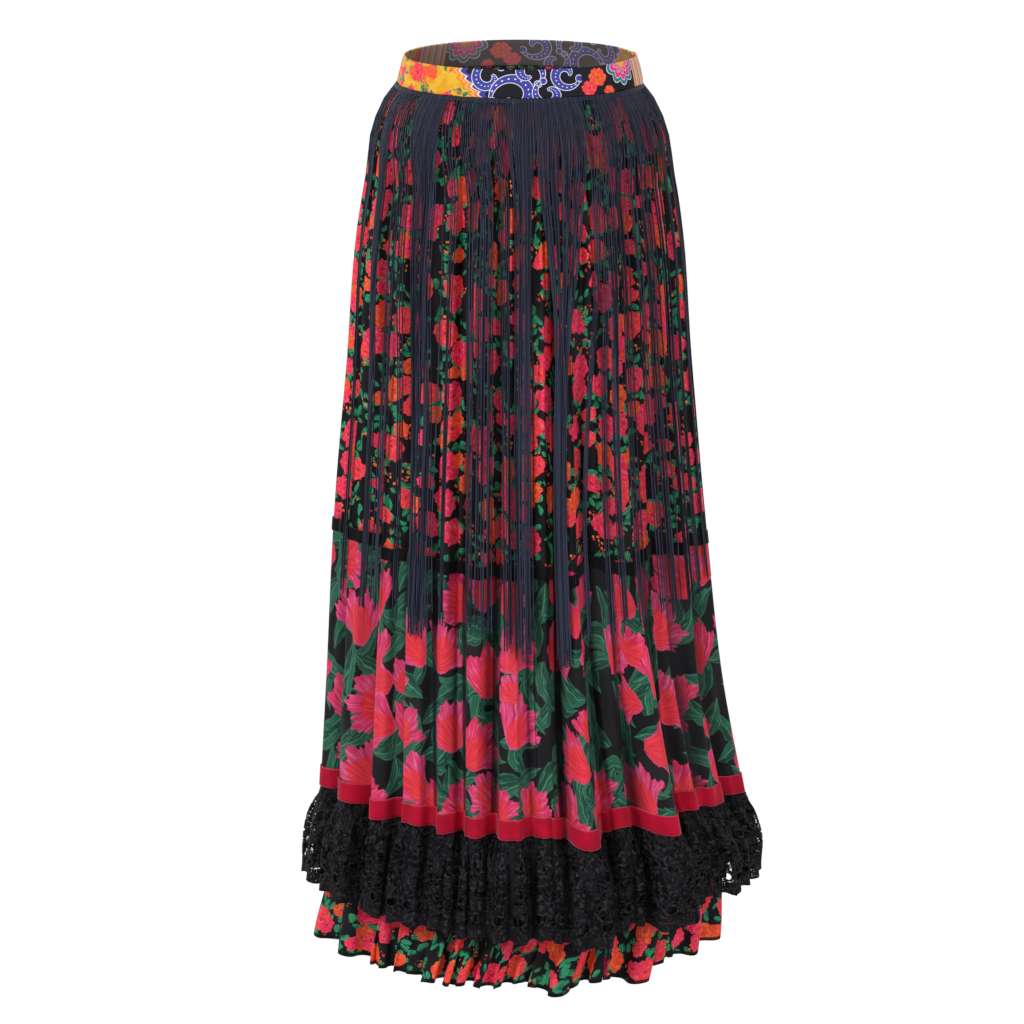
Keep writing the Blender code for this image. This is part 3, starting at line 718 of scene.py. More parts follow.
def tulips(paint, x, y, size):
    """Large painted flowers with long leaves."""
    loose = (paint.noise(x, y, 30.0) - 0.5) * 0.012
    fray = paint.noise(x, y, 420.0, 1.0) - 0.5
    colour = BLACK
    for seed, room, bend, kept in TULIP_LEAVES:
        place = (x + loose) / room + seed, (y - loose) / room + seed * 1.7
        across, down, chance = paint.turned_cells(*place, 0.8)
        green, where = long_leaf(paint, across, down, bend, chance, fray)
        colour = paint.over(colour, (where * chance[1].above(kept), green))
    for seed, grain, kept in ((4.4, 1.45, 0.66), (0.0, 1.0, 0.08)):
        place = (x + loose) / size * grain + seed, (y + loose) / size * grain + seed * 1.3
        across, down, chance = paint.cells(*place, 0.60)
        bloom, where = tulip(paint, across, down, chance, fray)
        colour = paint.over(colour, (where * chance[2].above(kept), bloom))
    return colour


def printed(name, pattern, size, roughness, pitch, reverse=False, hem=None, fold_shade=0.0, **constants):
    """Printed cloth. The reverse side is duller. hem is the depth down the cloth where a dark hem starts.

    The argument after hem is the strength of a painted shade, darker just beside each fold's line, in the
    fold's hollow.
    """
    paint = Paint(name, roughness, **constants)
    x, y = paint.place_on("cloth")
    threads = paint.weave(x, y, pitch)
    colour = paint.over(
        pattern(paint, x, y, size),
        ((threads * 0.5 + 0.5) * 0.10, (0.05, 0.05, 0.06)),
        (paint.noise(x, y, 14.0, 3.0).step(0.35, 0.8) * 0.10, (0.10, 0.09, 0.10)),
    )
    # Painted shade: a darker band just beside each fold's line, where the fold hollows in, made patchy by
    # noise; layers holds its share.
    if fold_shade:
        fold, down = paint.place_on("folds")
        place = (fold + 0.04).fraction()
        layers = place.fade(0.08, 0.36) * place.step(0.0, 0.05)
        layers = layers * paint.noise(fold, down * 3.0, 1.3, 1.0).step(0.20, 0.60)
        colour = paint.over(colour, (layers * fold_shade, BLACK))
    if hem is not None:
        colour = paint.over(colour, (y.step(hem, hem + 0.0006) * 0.9, BLACK))
    if reverse:
        colour = paint.over(colour, (0.62, (0.030, 0.028, 0.032)))
    return paint.set(Base_Color=colour)


def crepe(name, size, hem=None, fold_shade=0.0):
    """The rose print's outside and inside. The outside may have painted shade beside its folds."""

    def pattern(*place):
        return roses(*place)[0]

    outside = printed(name, pattern, size, 0.78, 0.0008, hem=hem, fold_shade=fold_shade)
    return [outside, printed(f"{name}_inside", pattern, size, 0.85, 0.0008, True, hem)]


def chiffon(name, size):
    """The outside and inside of the print with large flowers."""
    # The outside has a strong painted shade beside its folds.
    outside = printed(name, tulips, size, 0.66, 0.0009, fold_shade=0.88, Sheen_Weight=0.03)
    return [outside, printed(f"{name}_inside", tulips, size, 0.80, 0.0009, True)]


# The scarf print, in metres across and down from the start of its repeat. One row for each scroll: its
# middle, its radius, how wide it swells, how far it is turned, and its hand. One for each rose: its middle,
# its radius and whether it is orange. One for each ring of the petalled round, from the largest: its radius
# and its colour.
SCARF_REPEAT = 0.34
SCARF_INK = (0.010, 0.009, 0.016)
Scroll = namedtuple("Scroll", "across down radius wide turn hand")
SCROLLS = [
    Scroll(0.141, 0.008, 0.0145, 0.0036, 2.4, 1.0),
    Scroll(0.165, 0.026, 0.0190, 0.0042, 0.3, -1.0),
    Scroll(0.178, 0.003, 0.0130, 0.0034, -2.2, 1.0),
    Scroll(0.196, 0.024, 0.0125, 0.0032, 1.2, 1.0),
    Scroll(0.213, 0.006, 0.0130, 0.0036, 2.8, -1.0),
]
SCARF_ROSES = [(0.236, 0.021, 0.0080, 0.0), (0.247, 0.011, 0.0100, 1.0), (0.259, 0.026, 0.0060, 1.0)]
SCARF_ROSE_SIZE = 0.03
ROUND_MIDDLE = (0.283, -0.001)
ROUND_RINGS = [
    (0.0200, WHITE),
    (0.0190, (0.030, 0.20, 0.26)),
    (0.0150, WHITE),
    (0.0142, (0.74, 0.06, 0.22)),
    (0.0085, WHITE),
    (0.0078, (0.84, 0.13, 0.30)),
    (0.0030, (0.90, 0.45, 0.05)),
]


def gold_and_border(paint, x, y):
    """Gold with roses, then a scalloped border with beads, up to the black ground of the scrolls."""
    gold = paint.over((0.72, 0.32, 0.015), (paint.noise(x, y, 70.0).step(0.35, 0.65), (0.80, 0.45, 0.03)))
    blooms, cover = roses(paint, x + 0.5, y, 0.026)
    edge = x + ((y * (math.pi / 0.0075)).humps() * 0.0045 - y * 0.9)
    beads = ((y - x) * (math.tau / 0.0030)).sine().step(0.0, 0.3)
    return paint.over(
        gold,
        (cover * paint.noise(x, y, 38.0, 0.0).step(0.40, 0.41), blooms),
        (edge.step(0.104, 0.1045), (0.80, 0.24, 0.02)),
        (edge.near(0.1085, 0.0012, 0.0015) * beads, (0.90, 0.66, 0.30)),
        (edge.step(0.1125, 0.113), WHITE),
        (edge.step(0.1142, 0.1147), DEEP_INDIGO),
        (edge.step(0.120, 0.1205), SCARF_INK),
    )


def with_scroll(paint, colour, x, y, scroll):
    """Lays one curled indigo scroll, edged and dotted in white, over a colour."""
    x, y = paint.turned(x - scroll.across, (y - scroll.down) * scroll.hand, scroll.turn)
    away, around = polar(x, y)
    around = around / math.pi
    line = away - (around * 0.42 + 0.72) * scroll.radius
    body = abs(line) - ((1.0 - around * around) * scroll.wide + 0.0005)
    body = body.lower(length(x + scroll.radius * 1.08, y) - scroll.wide * 0.9)
    dots = length((around * 9.0).fraction() - 0.5, line / 0.0040)
    edged = (body.fade(0.0006, 0.0008), WHITE), (body.fade(-0.0001, 0.0001), INDIGO)
    return paint.over(colour, *edged, (dots.fade(0.14, 0.20), WHITE))


def scarf_cloth(name, reverse=False):
    """The waistband's print: gold with roses, a scalloped border, indigo scrolls, a rose, petals, stripes."""
    paint = Paint(name, 0.62)
    x, y = paint.place_on("cloth")
    x = (x / SCARF_REPEAT).fraction() * SCARF_REPEAT
    colour = gold_and_border(paint, x, y)
    for scroll in SCROLLS:
        colour = with_scroll(paint, colour, x, y, scroll)
    colour = paint.over(colour, (x.step(0.2285, 0.229), SCARF_INK))
    chance = [paint.noise(place, 0.0, 1.0) for place in (3.0, 5.0, 9.0)]
    for across, down, radius, orange in SCARF_ROSES:
        place = (x - across) / SCARF_ROSE_SIZE, (y - down) / SCARF_ROSE_SIZE
        bloom, where = rose(paint, *place, radius / SCARF_ROSE_SIZE, chance, orange)
        colour = paint.over(colour, (where, bloom))
    away, around = polar(x - ROUND_MIDDLE[0], y - ROUND_MIDDLE[1])
    away = away + (around * 5.0).humps() * -0.0045
    rings = [(away.fade(radius - 0.0002, radius + 0.0002), tint) for radius, tint in ROUND_RINGS]
    stripe = ((x - 0.304) / 0.0090).fraction()
    stripes = paint.over(
        (0.84, 0.22, 0.03),
        (stripe.step(0.50, 0.54), (0.60, 0.52, 0.52)),
        (stripe.near(0.52, 0.05, 0.08), (0.10, 0.12, 0.28)),
        (stripe.near(0.25, 0.03, 0.06), (0.92, 0.60, 0.12)),
    )
    threads = (paint.weave(x, y, 0.0007, 0.2) * 0.5 + 0.5) * 0.06
    colour = paint.over(colour, *rings, (x.step(0.3035, 0.304), stripes), (threads, (0.10, 0.08, 0.08)))
    if reverse:
        colour = paint.over(colour, (0.60, (0.16, 0.13, 0.13)))
    return paint.set(Base_Color=colour)


def velvet(name, colour, width=None):
    """Velvet ribbon, with a paler woven edge where a width is given."""
    paint = Paint(name, 0.75, Sheen_Weight=0.15, Sheen_Roughness=0.4)
    x, y = paint.place_on("cloth")
    dark = tuple(c * 0.75 for c in colour)
    shade = paint.over(dark, (paint.noise(x, y, 30.0, 1.0).step(0.35, 0.7), colour))
    if width is not None:
        edge = abs(y - width / 2).step(width / 2 - 0.0012, width / 2 - 0.0008)
        shade = paint.over(shade, (edge * 0.28, (0.62, 0.13, 0.17)))
    paint.weave(x, y, 0.0005, 0.15, paint.noise(x, y, 1400.0) * 0.00025)
    return paint.set(Base_Color=shade)


# The lace: the net's mesh, the flowers' spacing, the eyelets' half width and half height, depth and distance,
# and where its corded border and its dense lower edge are
NET_MESH = 0.0030
LACE_FLOWERS = 0.019
EYELET = (0.0026, 0.0045)
EYELET_DEPTH = 0.080
EYELET_DISTANCE = 0.0125
LACE_BORDER = 0.1015
DENSE_FROM = 0.086


def lace_net():
    """Black lace: corded flowers and vines on a net that is seen through, over a scalloped edge."""
    paint = Paint("black_lace_net", 0.7, 0.1)
    x, y = paint.place_on("cloth")
    fold, down = paint.place_on("folds")
    rising = (x + y) * (math.pi / NET_MESH)
    falling = (x - y) * (math.pi / NET_MESH)
    net = rising.humps().fade(0.16, 0.26).higher(falling.humps().fade(0.16, 0.26))
    net = net * paint.noise(x, y, 45.0, 1.0).step(0.40, 0.44)
    vines = 0.0
    for seed, scale in ((0.0, 60.0), (7.0, 85.0), (3.0, 120.0)):
        vines = paint.noise(x + seed, y, scale, 1.0).near(0.5, 0.026, 0.040).higher(vines)
    across, up, chance = paint.turned_cells(x / LACE_FLOWERS, y / LACE_FLOWERS + 0.2, 0.75)
    away, around = polar(across, up)
    depth = away / ((around * 2.5).humps() * 0.17 + 0.16)
    flower = depth.fade(0.95, 1.05)
    ribs = (around * 10.0).humps().fade(0.25, 0.55) * flower
    border = y.near(LACE_BORDER, 0.0016, 0.0022)
    beside = ((fold * 4.0).fraction() - 0.5) * EYELET_DISTANCE
    eyelet = length(beside / EYELET[0], (down - EYELET_DEPTH) / EYELET[1])
    solid = flower.higher(vines).higher(border).higher(eyelet.near(1.15, 0.20, 0.30))
    dense = down.step(DENSE_FROM, DENSE_FROM + 0.002) * (rising.sine() * falling.sine()).fade(0.70, 0.80)
    cover = (solid.higher(net) * (1.0 - eyelet.fade(0.90, 0.98))).higher(dense)
    raised = depth.near(0.9, 0.06, 0.16).higher(eyelet.near(1.15, 0.10, 0.22)).higher(vines).higher(border)
    thread = paint.noise(x, y, 260.0).step(0.48, 0.60)
    # Painted highlight: the raised cords, eyelet rims, vines, border and the petals' ribs are painted lighter
    # than the rest of the black lace, as where light catches them.
    colour = paint.over(
        (0.005, 0.005, 0.006),
        (raised * thread, (0.026, 0.026, 0.030)),
        (ribs * 0.6, (0.024, 0.024, 0.028)),
    )
    paint.weave(x, y, 0.0009, 0.5, raised * 0.0007)
    return paint.set(Base_Color=colour, Alpha=cover)


def plain_black(name):
    paint = Paint(name, 0.85)
    x, y = paint.place_on("cloth")
    threads = (paint.weave(x, y, 0.0008, 0.3) * 0.5 + 0.5) * 0.2
    soft = (paint.noise(x, y, 20.0, 3.0), (0.016, 0.016, 0.019))
    return paint.set(Base_Color=paint.over(BLACK, soft, (threads, (0.03, 0.03, 0.035))))


def cord_cloth(name, colour):
    """Satin cords. Each one differs a little, by where it hangs, and is ribbed by its twist, with painted
    shade along the twist's grooves.
    """
    paint = Paint(name, 0.50, 0.18)
    x, y, z = paint.parts(paint.node("ShaderNodeTexCoord", outputs=("Object",)), (0, 1, 2))
    around = x.turn_from(y)
    twist = ((z + around * 0.1) * (math.tau / 0.0022)).sine()
    dark = tuple(c * 0.45 for c in colour)
    light = tuple(min(1.0, c * 1.9) for c in colour)
    tint = (paint.noise(around * 60.0, z * 1.5, 1.0).step(0.3, 0.7), light)
    paint.bump(twist * 0.00015, 0.4)
    # Painted shade: stripes along the twist are darkened, as in the grooves between its turns.
    return paint.set(Base_Color=paint.over(dark, tint, (twist.step(-0.2, 0.9) * 0.35, dark)))


def in_scene(name, data):
    made = bpy.data.objects.new(name, data)
    bpy.context.scene.collection.objects.link(made)
    return made


def sheet_mesh(name, points, across, down, materials, closed=False, folds=None):
    """A surface through rows of points, with its own metres as a map. across and down are one array each.

    folds is a second map's place across, in folds, in step with the columns.
    """
    rows, columns = points.shape[:2]
    wide = columns if closed else columns - 1
    level, column = np.meshgrid(np.arange(rows - 1), np.arange(wide), indexing="ij")
    corners = ((level, column), (level + 1, column), (level + 1, column + 1), (level, column + 1))
    faces = np.stack([row * columns + place % columns for row, place in corners], axis=2)
    mesh = bpy.data.meshes.new(name)
    mesh.from_pydata(points.reshape(-1, 3).tolist(), [], faces.reshape(-1, 4).tolist())
    for label, over in (("cloth", across), ("folds", folds)):
        if over is None:
            continue
        if closed:
            over = np.append(over, over[-1] + (over[1] - over[0]))
        drawn = mesh.uv_layers.new(name=label)
        places = np.stack([np.stack([over[place], down[row]], axis=2) for row, place in corners], axis=2)
        drawn.data.foreach_set("uv", places.reshape(-1).astype(np.float32))
    for material in materials:
        mesh.materials.append(material)
    mesh.shade_smooth()
    return in_scene(name, mesh)


def thicken(made, thickness):
    """Gives a sheet its wall. A second material is its inside's."""
    wall = made.modifiers.new("Wall", "SOLIDIFY")
    wall.thickness = thickness
    wall.offset = 0.0
    wall.material_offset = len(made.data.materials) - 1


def finish_piece(made, nodes):
    """Hangs a piece under the root's empty and hides the solids from model.glb that it stands for."""
    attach(made, "root")
    if nodes:
        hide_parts(*nodes)


def along_row(row):
    """How far along a closed row each of its points lies, and last its whole length."""
    steps = np.linalg.norm(np.roll(row, -1, axis=0) - row, axis=1)
    return np.concatenate([[0.0], np.cumsum(steps)])


def both_sides(name):
    return (f"{name}_front", f"{name}_back")


def panels(name, points, down, thickness, materials):
    """The front and the back of a tier. They meet at the side seams, where both are drawn in a little."""
    across = along_row(points[-1])
    inner = -outward(points)
    front, back = both_sides(name)
    for node, first, last in ((front, 0, FRONT_COLUMNS), (back, FRONT_COLUMNS, ALL_COLUMNS)):
        columns = np.arange(first - SEAM_COLUMNS, last - SEAM_COLUMNS + 1)
        around = columns % ALL_COLUMNS
        part = points[:, around]
        place = across[around] + across[-1] * (columns // ALL_COLUMNS)
        for end, beside in ((0, 1), (-1, -2)):
            run = part[:, beside] - part[:, end]
            part[:, end] += run / np.linalg.norm(run, axis=1, keepdims=True) * SEAM_GAP / 2
            part[:, end] += inner[:, around[end]] * SEAM_GAP
        panel = sheet_mesh(f"{node}_cloth", part, place - place[0], down, materials, folds=columns / COLUMNS)
        thicken(panel, thickness)
        finish_piece(panel, [node])


def tube_tree():
    """Geometry nodes that turn a mesh of lines into round cords, and the identifiers of their inputs."""
    tree = bpy.data.node_groups.new("round_cords", "GeometryNodeTree")
    names = {}
    for name, kind in (("Lines", "Geometry"), ("Radius", "Float"), ("Sides", "Int"), ("Points", "Int"),
                       ("Material", "Material")):
        made = tree.interface.new_socket(name, in_out="INPUT", socket_type=f"NodeSocket{kind}")
        names[name] = made.identifier
    tree.interface.new_socket("Cords", in_out="OUTPUT", socket_type="NodeSocketGeometry")
    chain = ("NodeGroupInput", "GeometryNodeMeshToCurve", "GeometryNodeCurveSplineType",
             "GeometryNodeResampleCurve", "GeometryNodeCurveToMesh", "GeometryNodeSetShadeSmooth",
             "GeometryNodeRealizeInstances", "GeometryNodeSetMaterial", "NodeGroupOutput")
    nodes = [tree.nodes.new(kind) for kind in chain]
    for before, after in zip(nodes, nodes[1:]):
        tree.links.new(before.outputs[0], after.inputs[0])
    start, _, smooth, even, tube, _, _, paint, _ = nodes
    smooth.spline_type = "CATMULL_ROM"
    tube.inputs["Fill Caps"].default_value = True
    profile = tree.nodes.new("GeometryNodeCurvePrimitiveCircle")
    tree.links.new(profile.outputs["Curve"], tube.inputs["Profile Curve"])
    for name, node, socket in (("Radius", profile, "Radius"), ("Sides", profile, "Resolution"),
                               ("Points", even, "Count"), ("Material", paint, "Material")):
        tree.links.new(start.outputs[name], node.inputs[socket])
    return tree, names


def cords(name, lines, **inputs):
    """Round cords along lines, each an array of points, as one plain mesh. inputs are the node tree's."""
    vertices = []
    edges = []
    for line in lines:
        first = len(vertices)
        edges += [(first + step, first + step + 1) for step in range(len(line) - 1)]
        vertices += line.tolist()
    mesh = bpy.data.meshes.new(name)
    mesh.from_pydata(vertices, edges, [])
    drawn = in_scene(name, mesh)
    modifier = drawn.modifiers.new("Cords", "NODES")
    modifier.node_group, names = tube_tree()
    for label, value in inputs.items():
        modifier[names[label]] = value
    bpy.context.view_layer.update()
    seen = drawn.evaluated_get(bpy.context.evaluated_depsgraph_get())
    result = bpy.data.meshes.new_from_object(seen)
    drawn.modifiers.clear()
    drawn.data = result
    return drawn


def fringe_bundles():
    """The bundles of the whole fringe, the front's from the table and the back's by rule."""
    bundles = list(FRONT_BUNDLES)
    for index in range(BACK_BUNDLES):
        high = mix(BACK_BUNDLES_FROM, BACK_BUNDLES_TO, index / (BACK_BUNDLES - 1))
        high += 2.5 * math.sin(1.9 * index)
        low = high + 2.0 * math.sin(2.7 * index)
        count = BACK_BUNDLE_CORDS[index % len(BACK_BUNDLE_CORDS)]
        end = 0.565 + 0.012 * math.sin(2.3 * index)
        bundles.append(Bundle(high, low, count, 0.0013 * count, 0.0010 * count, 0.26, end))
    return bundles


def cord_line(bundle, across, root, draw):
    """The way of one cord: from its place at the waist seam into its bundle, and down to its end."""
    depths = np.append(CORD_LEVELS, bundle.end + draw.uniform(-0.016, 0.008))
    ring = rings_at(TIER_RINGS, depths)
    gathered = ease(depths, 0.012, 0.130)
    stray = draw.random() < STRAY_CORDS
    wide = mix(bundle.wide_high, bundle.wide_low, ease(depths, 0.060, bundle.closed))
    wander = np.cumsum(draw.normal(0.0, 0.0013 if stray else 0.00025, len(depths)))
    aside = (across - 0.5) * wide + wander * gathered
    home = mix(bundle.high, bundle.low, ease(depths, 0.10, 0.46)) + np.degrees(aside / ring.half_depth[:, 0])
    angle = mix(root, home, gathered)
    off = np.interp(depths, *CORD_OFF_AT) + draw.uniform(-0.0004, 0.0022) * gathered
    off = off * (1.0 - 0.75 * ease(np.abs(np.sin(np.radians(angle))), 0.86, 0.97) * gathered)
    return outline(ring, angle[:, None], -off[:, None])[:, 0]


def cord_lines():
    """The way of every cord of the fringe."""
    bundles = fringe_bundles()
    counts = np.cumsum([bundle.cords for bundle in bundles])
    even = ([0, counts[len(FRONT_BUNDLES) - 1], counts[-1]], [-90.0, 90.0, 270.0])
    high = [bundle.high for bundle in bundles]
    ends = [(low + up) / 2 for low, up in zip([high[-1] - 360.0, *high], [*high, high[0] + 360.0])]
    draw = np.random.default_rng(CORD_SEED)
    lines = []
    for bundle, start, end in zip(bundles, ends, ends[1:]):
        for number in range(bundle.cords):
            across = (number + 0.5) / bundle.cords
            root = mix(mix(start, end, across), np.interp(len(lines) + 0.5, *even), EVEN_ROOTS)
            lines.append(cord_line(bundle, across, root, draw))
    return lines


def heading_lines():
    """Three cords round the waist seam, one below the other."""
    angle = np.linspace(-75.0, 284.6, 180)
    return list(outline(rings_at(TIER_RINGS, np.array(HEADING_LEVELS)), angle[None, :], -HEADING_OFF))


Size = partial(bpy.props.FloatProperty, unit="LENGTH")
Colour = partial(bpy.props.FloatVectorProperty, subtype="COLOR", size=3)


class SkirtSizes(bpy.types.PropertyGroup):
    """Sizes that a user would change"""

    tier_cloth: Size(name="Tier cloth", description="Thickness of the printed cloth", default=0.0009)
    ribbon_cloth: Size(name="Ribbon", description="Thickness of the velvet ribbons", default=0.0011)
    lace_cloth: Size(name="Lace", description="Thickness of the lace", default=0.0007)
    band_cloth: Size(name="Waistband", description="Thickness of the waistband", default=0.0020)
    cord_radius: Size(name="Cord radius", description="Radius of one cord of the fringe", default=0.00072)
    rose_size: Size(name="Rose repeat", description="Mean distance between small roses", default=0.036)
    tulip_size: Size(name="Flower repeat", description="Mean distance between large flowers", default=0.076)


class SkirtColours(bpy.types.PropertyGroup):
    """Colours that a user would change"""

    cord: Colour(name="Cord", description="Colour of the fringe", default=(0.019, 0.022, 0.041))
    red: Colour(name="Red ribbon", description="Colour of red velvet", default=(0.46, 0.0025, 0.026))
    black: Colour(name="Black ribbon", description="Colour of black velvet", default=(0.004, 0.004, 0.005))


class SKIRT_OT_waistband(bpy.types.Operator):
    """Shaped band in two parts, the front one lapped over the back one at the wearer's left side"""

    bl_idname = "skirt.waistband"
    bl_label = "Waistband"

    def execute(self, context):
        print_cloth = [scarf_cloth("scarf_print"), scarf_cloth("scarf_print_inside", True)]
        for band in BANDS:
            angle = np.linspace(band.start, band.end, 97)
            depths = np.linspace(-BAND_HALF, BAND_HALF, 9)
            level = depths[:, None]
            spread = (level + BAND_HALF) / (2 * BAND_HALF)
            ring = Ring(level, mix(*BAND_HALF_WIDTHS, spread), mix(*BAND_HALF_DEPTHS, spread), *[0.0] * 8)
            pull = BAND_PULL * np.sin(np.radians(angle) * BAND_PULLS) * ease(level, 0.0, BAND_HALF)
            bulge = BAND_BULGE * np.sin(np.pi * spread)
            points = outline(ring, angle[None, :], -(band.lap * ease(angle, 72.0, 84.0) + pull + bulge))
            across = np.radians(angle - band.start) * BAND_RADIUS + band.shift
            made = sheet_mesh(f"{band.node}_cloth", points, across, depths + BAND_HALF, print_cloth)
            thicken(made, context.scene.skirt_sizes.band_cloth)
            edge = made.modifiers.new("Edge", "BEVEL")
            edge.width = BAND_EDGE
            edge.segments = 2
            edge.limit_method = "ANGLE"
            flat = (float(across[-1] - across[0]), 2 * BAND_HALF)
            finish_piece(made, [band.node])
        return {"FINISHED"}


class SKIRT_OT_fringe(bpy.types.Operator):
    """Long fine cords in bundles, from a narrow heading at the waist seam"""

    bl_idname = "skirt.fringe"
    bl_label = "Fringe"

    def execute(self, context):
        satin = cord_cloth("fringe_cord", tuple(context.scene.skirt_colours.cord))
        shared = {"Sides": CORD_SIDES, "Material": satin}
        radius = context.scene.skirt_sizes.cord_radius
        fringe = cords("fringe_cords", cord_lines(), Radius=radius, Points=CORD_POINTS, **shared)
        strip = cords("fringe_heading", heading_lines(), Radius=HEADING_RADIUS,
                      Points=HEADING_POINTS, **shared)
        finish_piece(fringe, ["fringe"])
        finish_piece(strip, [])
        return {"FINISHED"}


class SKIRT_OT_tiers(bpy.types.Operator):
    """Upper tier with small roses, middle tier with large flowers, and the velvet ribbons on their seams"""

    bl_idname = "skirt.tiers"
    bl_label = "Tiers and ribbons"

    def execute(self, context):
        sizes = context.scene.skirt_sizes
        colours = context.scene.skirt_colours
        close = np.linspace(WAIST_SEAM, UPPER_ROWS_CLOSE_TO, 13)[:-1]
        depths = np.concatenate([close, np.linspace(UPPER_ROWS_CLOSE_TO, UPPER_TIER_HEM, 22)])
        # The rose print's outside gets a painted shade beside its folds.
        self.tier("upper_tier", depths, WAIST_SEAM, crepe("rose_print", sizes.rose_size, fold_shade=0.60),
                  "rose_print", "waistband", ("fringe_cords", "fringe_heading"))
        depths = np.linspace(UPPER_TIER_HEM + SEAM_GAP, MIDDLE_TIER_HEM, 22)
        self.tier("middle_tier", depths, depths[0], chiffon("tulip_print", sizes.tulip_size),
                  "tulip_print", "upper_tier")
        self.ribbon("velvet_ribbon", UPPER_TIER_HEM - VELVET_WIDTH / 2, VELVET_WIDTH,
                    velvet("black_velvet", tuple(colours.black)), "black_velvet")
        self.ribbon("red_ribbon", MIDDLE_TIER_HEM - RED_RIBBON_WIDTH, RED_RIBBON_WIDTH,
                    velvet("red_velvet", tuple(colours.red), RED_RIBBON_WIDTH), "red_velvet")
        return {"FINISHED"}

    def tier(self, name, depths, top, materials, slot, rests_on, on_front=()):
        points = cloth(TIER_RINGS, depths, TIER_PUCKERS)
        on_front = [made for made in map(bpy.data.objects.get, on_front) if made]
        thickness = bpy.context.scene.skirt_sizes.tier_cloth
        panels(name, points, depths - top, thickness, materials)

    def ribbon(self, node, top, width, material, slot):
        """A ribbon laid on the tier's own points."""
        depths = top + np.linspace(0.0, width, 7)
        points = moved_out(cloth(TIER_RINGS, depths, TIER_PUCKERS), RIBBON_PROUD)
        across = along_row(points[-1])
        made = sheet_mesh(f"{node}_cloth", points, across[:-1], depths - top, [material], closed=True)
        thicken(made, bpy.context.scene.skirt_sizes.ribbon_cloth)
        finish_piece(made, [node])


class SKIRT_OT_flounce(bpy.types.Operator):
    """Gathered lace flounce over its plain lining, and the fluted bottom tier"""

    bl_idname = "skirt.flounce"
    bl_label = "Flounce and bottom tier"

    def execute(self, context):
        sizes = context.scene.skirt_sizes
        self.lace(sizes.lace_cloth)
        self.lining()
        self.bottom_tier(sizes)
        return {"FINISHED"}

    def lace(self, thickness):
        widths = fold_widths(fold_lines(np.array([MIDDLE_TIER_HEM])))[0][FOLD_OF]
        wave = (0.5 - 0.5 * np.cos(math.tau * LACE_GATHERS * ACROSS_FOLD)) ** 0.8 * np.minimum(1.0, widths)
        depths = np.linspace(MIDDLE_TIER_HEM + 0.001, LACE_HEM, 18)
        reach = LACE_RUFFLE * ease(depths, MIDDLE_TIER_HEM - 0.01, 0.818)
        fine = 1.0 + 1.6 * ease(depths, depths[0], 0.80) - 1.2 * ease(depths, 0.83, LACE_HEM)
        points = moved_out(cloth(FLOUNCE_RINGS, depths, LACE_PUCKERS, fine), reach[:, None] * wave)
        points[:, :, 2] -= LACE_SCALLOP * wave * ease(depths, 0.84, LACE_HEM)[:, None]
        panels("lace_flounce", points, depths - depths[0], thickness, [lace_net()])

    def lining(self):
        """The lining stays behind the lace, further at the sides, where the lace is seen through."""
        depths = np.linspace(MIDDLE_TIER_HEM + 0.004, LINING_HEM, 12)
        behind = mix(LINING_TOP_BEHIND, LINING_HEM_BEHIND, ease(depths, depths[0], depths[-1]))
        points = cloth(FLOUNCE_RINGS, depths)
        sideways = points[:, :, 0] / 0.25
        retreat = LINING_RETREAT_LEFT * ease(sideways, 0.72, 0.98)
        retreat = retreat + LINING_RETREAT_RIGHT * ease(-sideways, 0.75, 0.95)
        retreat = retreat * ease(depths, 0.785, 0.83)[:, None]
        points = moved_out(points, -behind[:, None] - retreat)
        black = plain_black("black_lining")
        panels("flounce_lining", points, depths - depths[0], LINING_CLOTH, [black])

    def bottom_tier(self, sizes):
        """The bottom tier hangs from behind the red ribbon, so that its top row follows the tier above."""
        top = moved_out(cloth(TIER_RINGS, [BOTTOM_TIER_TOP]), -BOTTOM_TIER_TUCK)
        depths = np.append(BOTTOM_ROWS, np.linspace(BOTTOM_ROWS_EVEN_FROM, BOTTOM_TIER_HEM, 12))
        points = np.concatenate([top, cloth(BOTTOM_RINGS, depths, fine=1.3, fluted=True)])
        down = np.append(0.0, depths - BOTTOM_TIER_TOP)
        print_cloth = crepe("rose_print_hem", sizes.rose_size, BOTTOM_TIER_HEM - BOTTOM_TIER_TOP - DARK_HEM)
        panels("bottom_tier", points, down, sizes.tier_cloth, print_cloth)


# The stage: the camera's place and aim, its lens and film width in millimetres, and the middle that the
# lights shine at. One row for each lamp: its name, place, size and power. Last, the strengths of the white
# that the camera sees and of the softer light that falls on the skirt.
CAMERA_AT = (-0.0075, -6.5, 1.25)
CAMERA_AIM = (-0.0075, 0.0, -0.478)
LENS = 223.03
FILM_WIDTH = 36.0
LIT_MIDDLE = (0.0, 0.0, -0.5)
LAMPS = [
    ("key", (-3.0, -3.0, 2.2), 1.4, 140.0),
    ("fill", (3.0, -3.0, 0.6), 2.0, 60.0),
    ("back", (1.6, 3.2, 1.8), 2.4, 40.0),
    ("back_left", (-2.6, 2.6, 0.6), 2.4, 40.0),
]
SEEN_WHITE = 1.02
SOFT_LIGHT = 0.54


def aimed(name, data, place, aim):
    """A camera or a lamp that points at a place."""
    made = in_scene(name, data)
    made.location = place
    made.rotation_euler = (Vector(aim) - made.location).to_track_quat("-Z", "Y").to_euler()
    return made


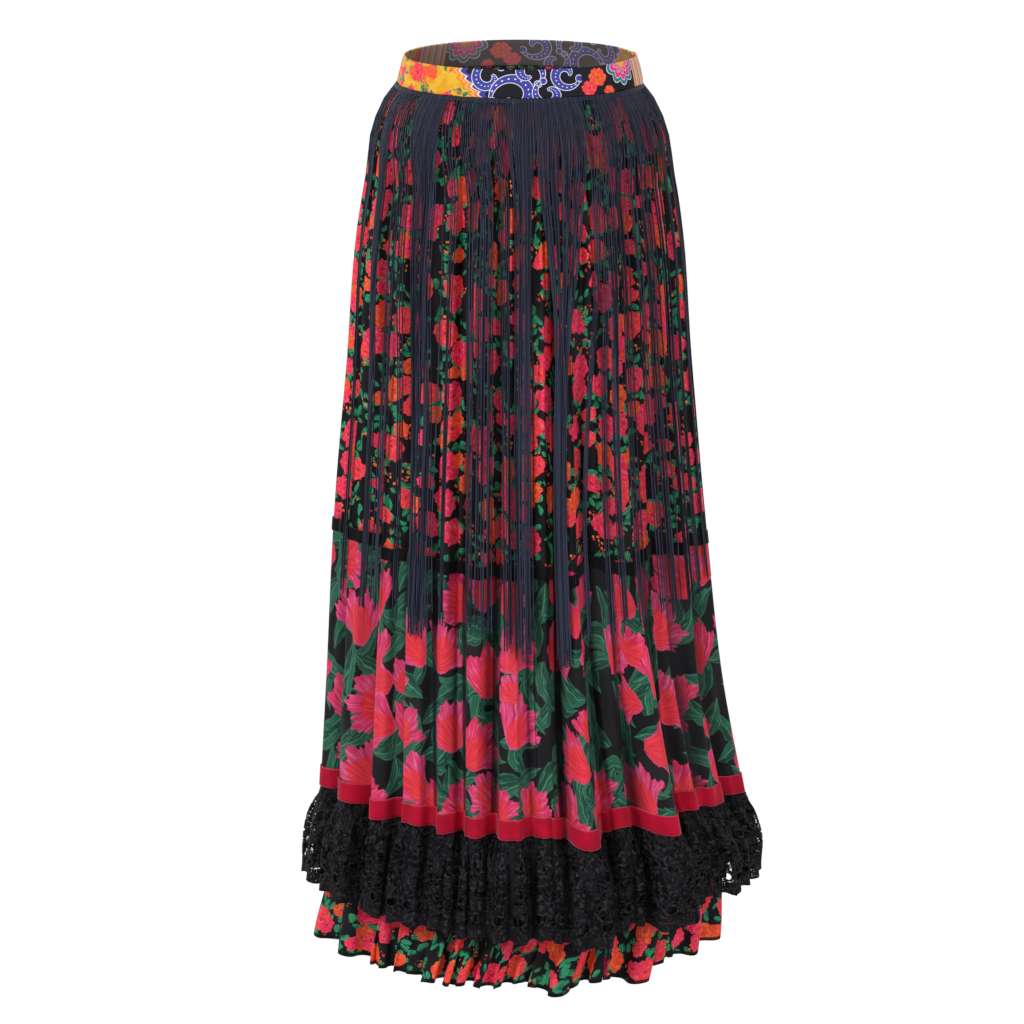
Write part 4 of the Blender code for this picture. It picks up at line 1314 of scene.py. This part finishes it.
class SKIRT_OT_stage(bpy.types.Operator):
    """Camera, soft studio lights and a white surround"""

    bl_idname = "skirt.stage"
    bl_label = "Stage"

    def execute(self, context):
        data = bpy.data.cameras.new("camera")
        data.lens = LENS
        data.sensor_width = FILM_WIDTH
        context.scene.camera = aimed("camera", data, CAMERA_AT, CAMERA_AIM)
        for name, place, size, power in LAMPS:
            lamp = bpy.data.lights.new(name, "AREA")
            lamp.size = size
            lamp.energy = power
            aimed(name, lamp, place, LIT_MIDDLE)
        context.scene.world = self.surround()
        context.scene.view_settings.view_transform = "Standard"
        return {"FINISHED"}

    def surround(self):
        """White where the camera sees it, and a softer light for the skirt."""
        world = bpy.data.worlds.new("studio")
        world.use_nodes = True
        nodes = world.node_tree.nodes
        seen = nodes["Background"]
        soft = nodes.new("ShaderNodeBackground")
        for node, strength in ((seen, SEEN_WHITE), (soft, SOFT_LIGHT)):
            node.inputs["Color"].default_value = (1.0, 1.0, 1.0, 1.0)
            node.inputs["Strength"].default_value = strength
        both = nodes.new("ShaderNodeMixShader")
        ray = nodes.new("ShaderNodeLightPath")
        for place, out in enumerate((ray.outputs["Is Camera Ray"], soft.outputs[0], seen.outputs[0])):
            world.node_tree.links.new(out, both.inputs[place])
        world.node_tree.links.new(both.outputs[0], nodes["World Output"].inputs[0])
        return world


class SKIRT_PT_pieces(bpy.types.Panel):
    """Lists the pieces and their sizes"""

    bl_idname = "SKIRT_PT_pieces"
    bl_label = "Tiered skirt"
    bl_space_type = "VIEW_3D"
    bl_region_type = "UI"
    bl_category = "Skirt"

    def draw(self, context):
        for group in (context.scene.skirt_sizes, context.scene.skirt_colours):
            for name in group.__annotations__:
                self.layout.prop(group, name)
        for operator in OPERATORS:
            self.layout.operator(operator.bl_idname)


OPERATORS = (SKIRT_OT_stage, SKIRT_OT_waistband, SKIRT_OT_fringe, SKIRT_OT_tiers, SKIRT_OT_flounce)
CLASSES = (SkirtSizes, SkirtColours, *OPERATORS, SKIRT_PT_pieces)


def register():
    for part in CLASSES:
        bpy.utils.register_class(part)
    bpy.types.Scene.skirt_sizes = bpy.props.PointerProperty(type=SkirtSizes)
    bpy.types.Scene.skirt_colours = bpy.props.PointerProperty(type=SkirtColours)


def unregister():
    del bpy.types.Scene.skirt_colours
    del bpy.types.Scene.skirt_sizes
    for part in reversed(CLASSES):
        bpy.utils.unregister_class(part)


def main():
    register()
    for operator in OPERATORS:
        group, name = operator.bl_idname.split(".")
        getattr(getattr(bpy.ops, group), name)()


if __name__ == "__main__":
    main()
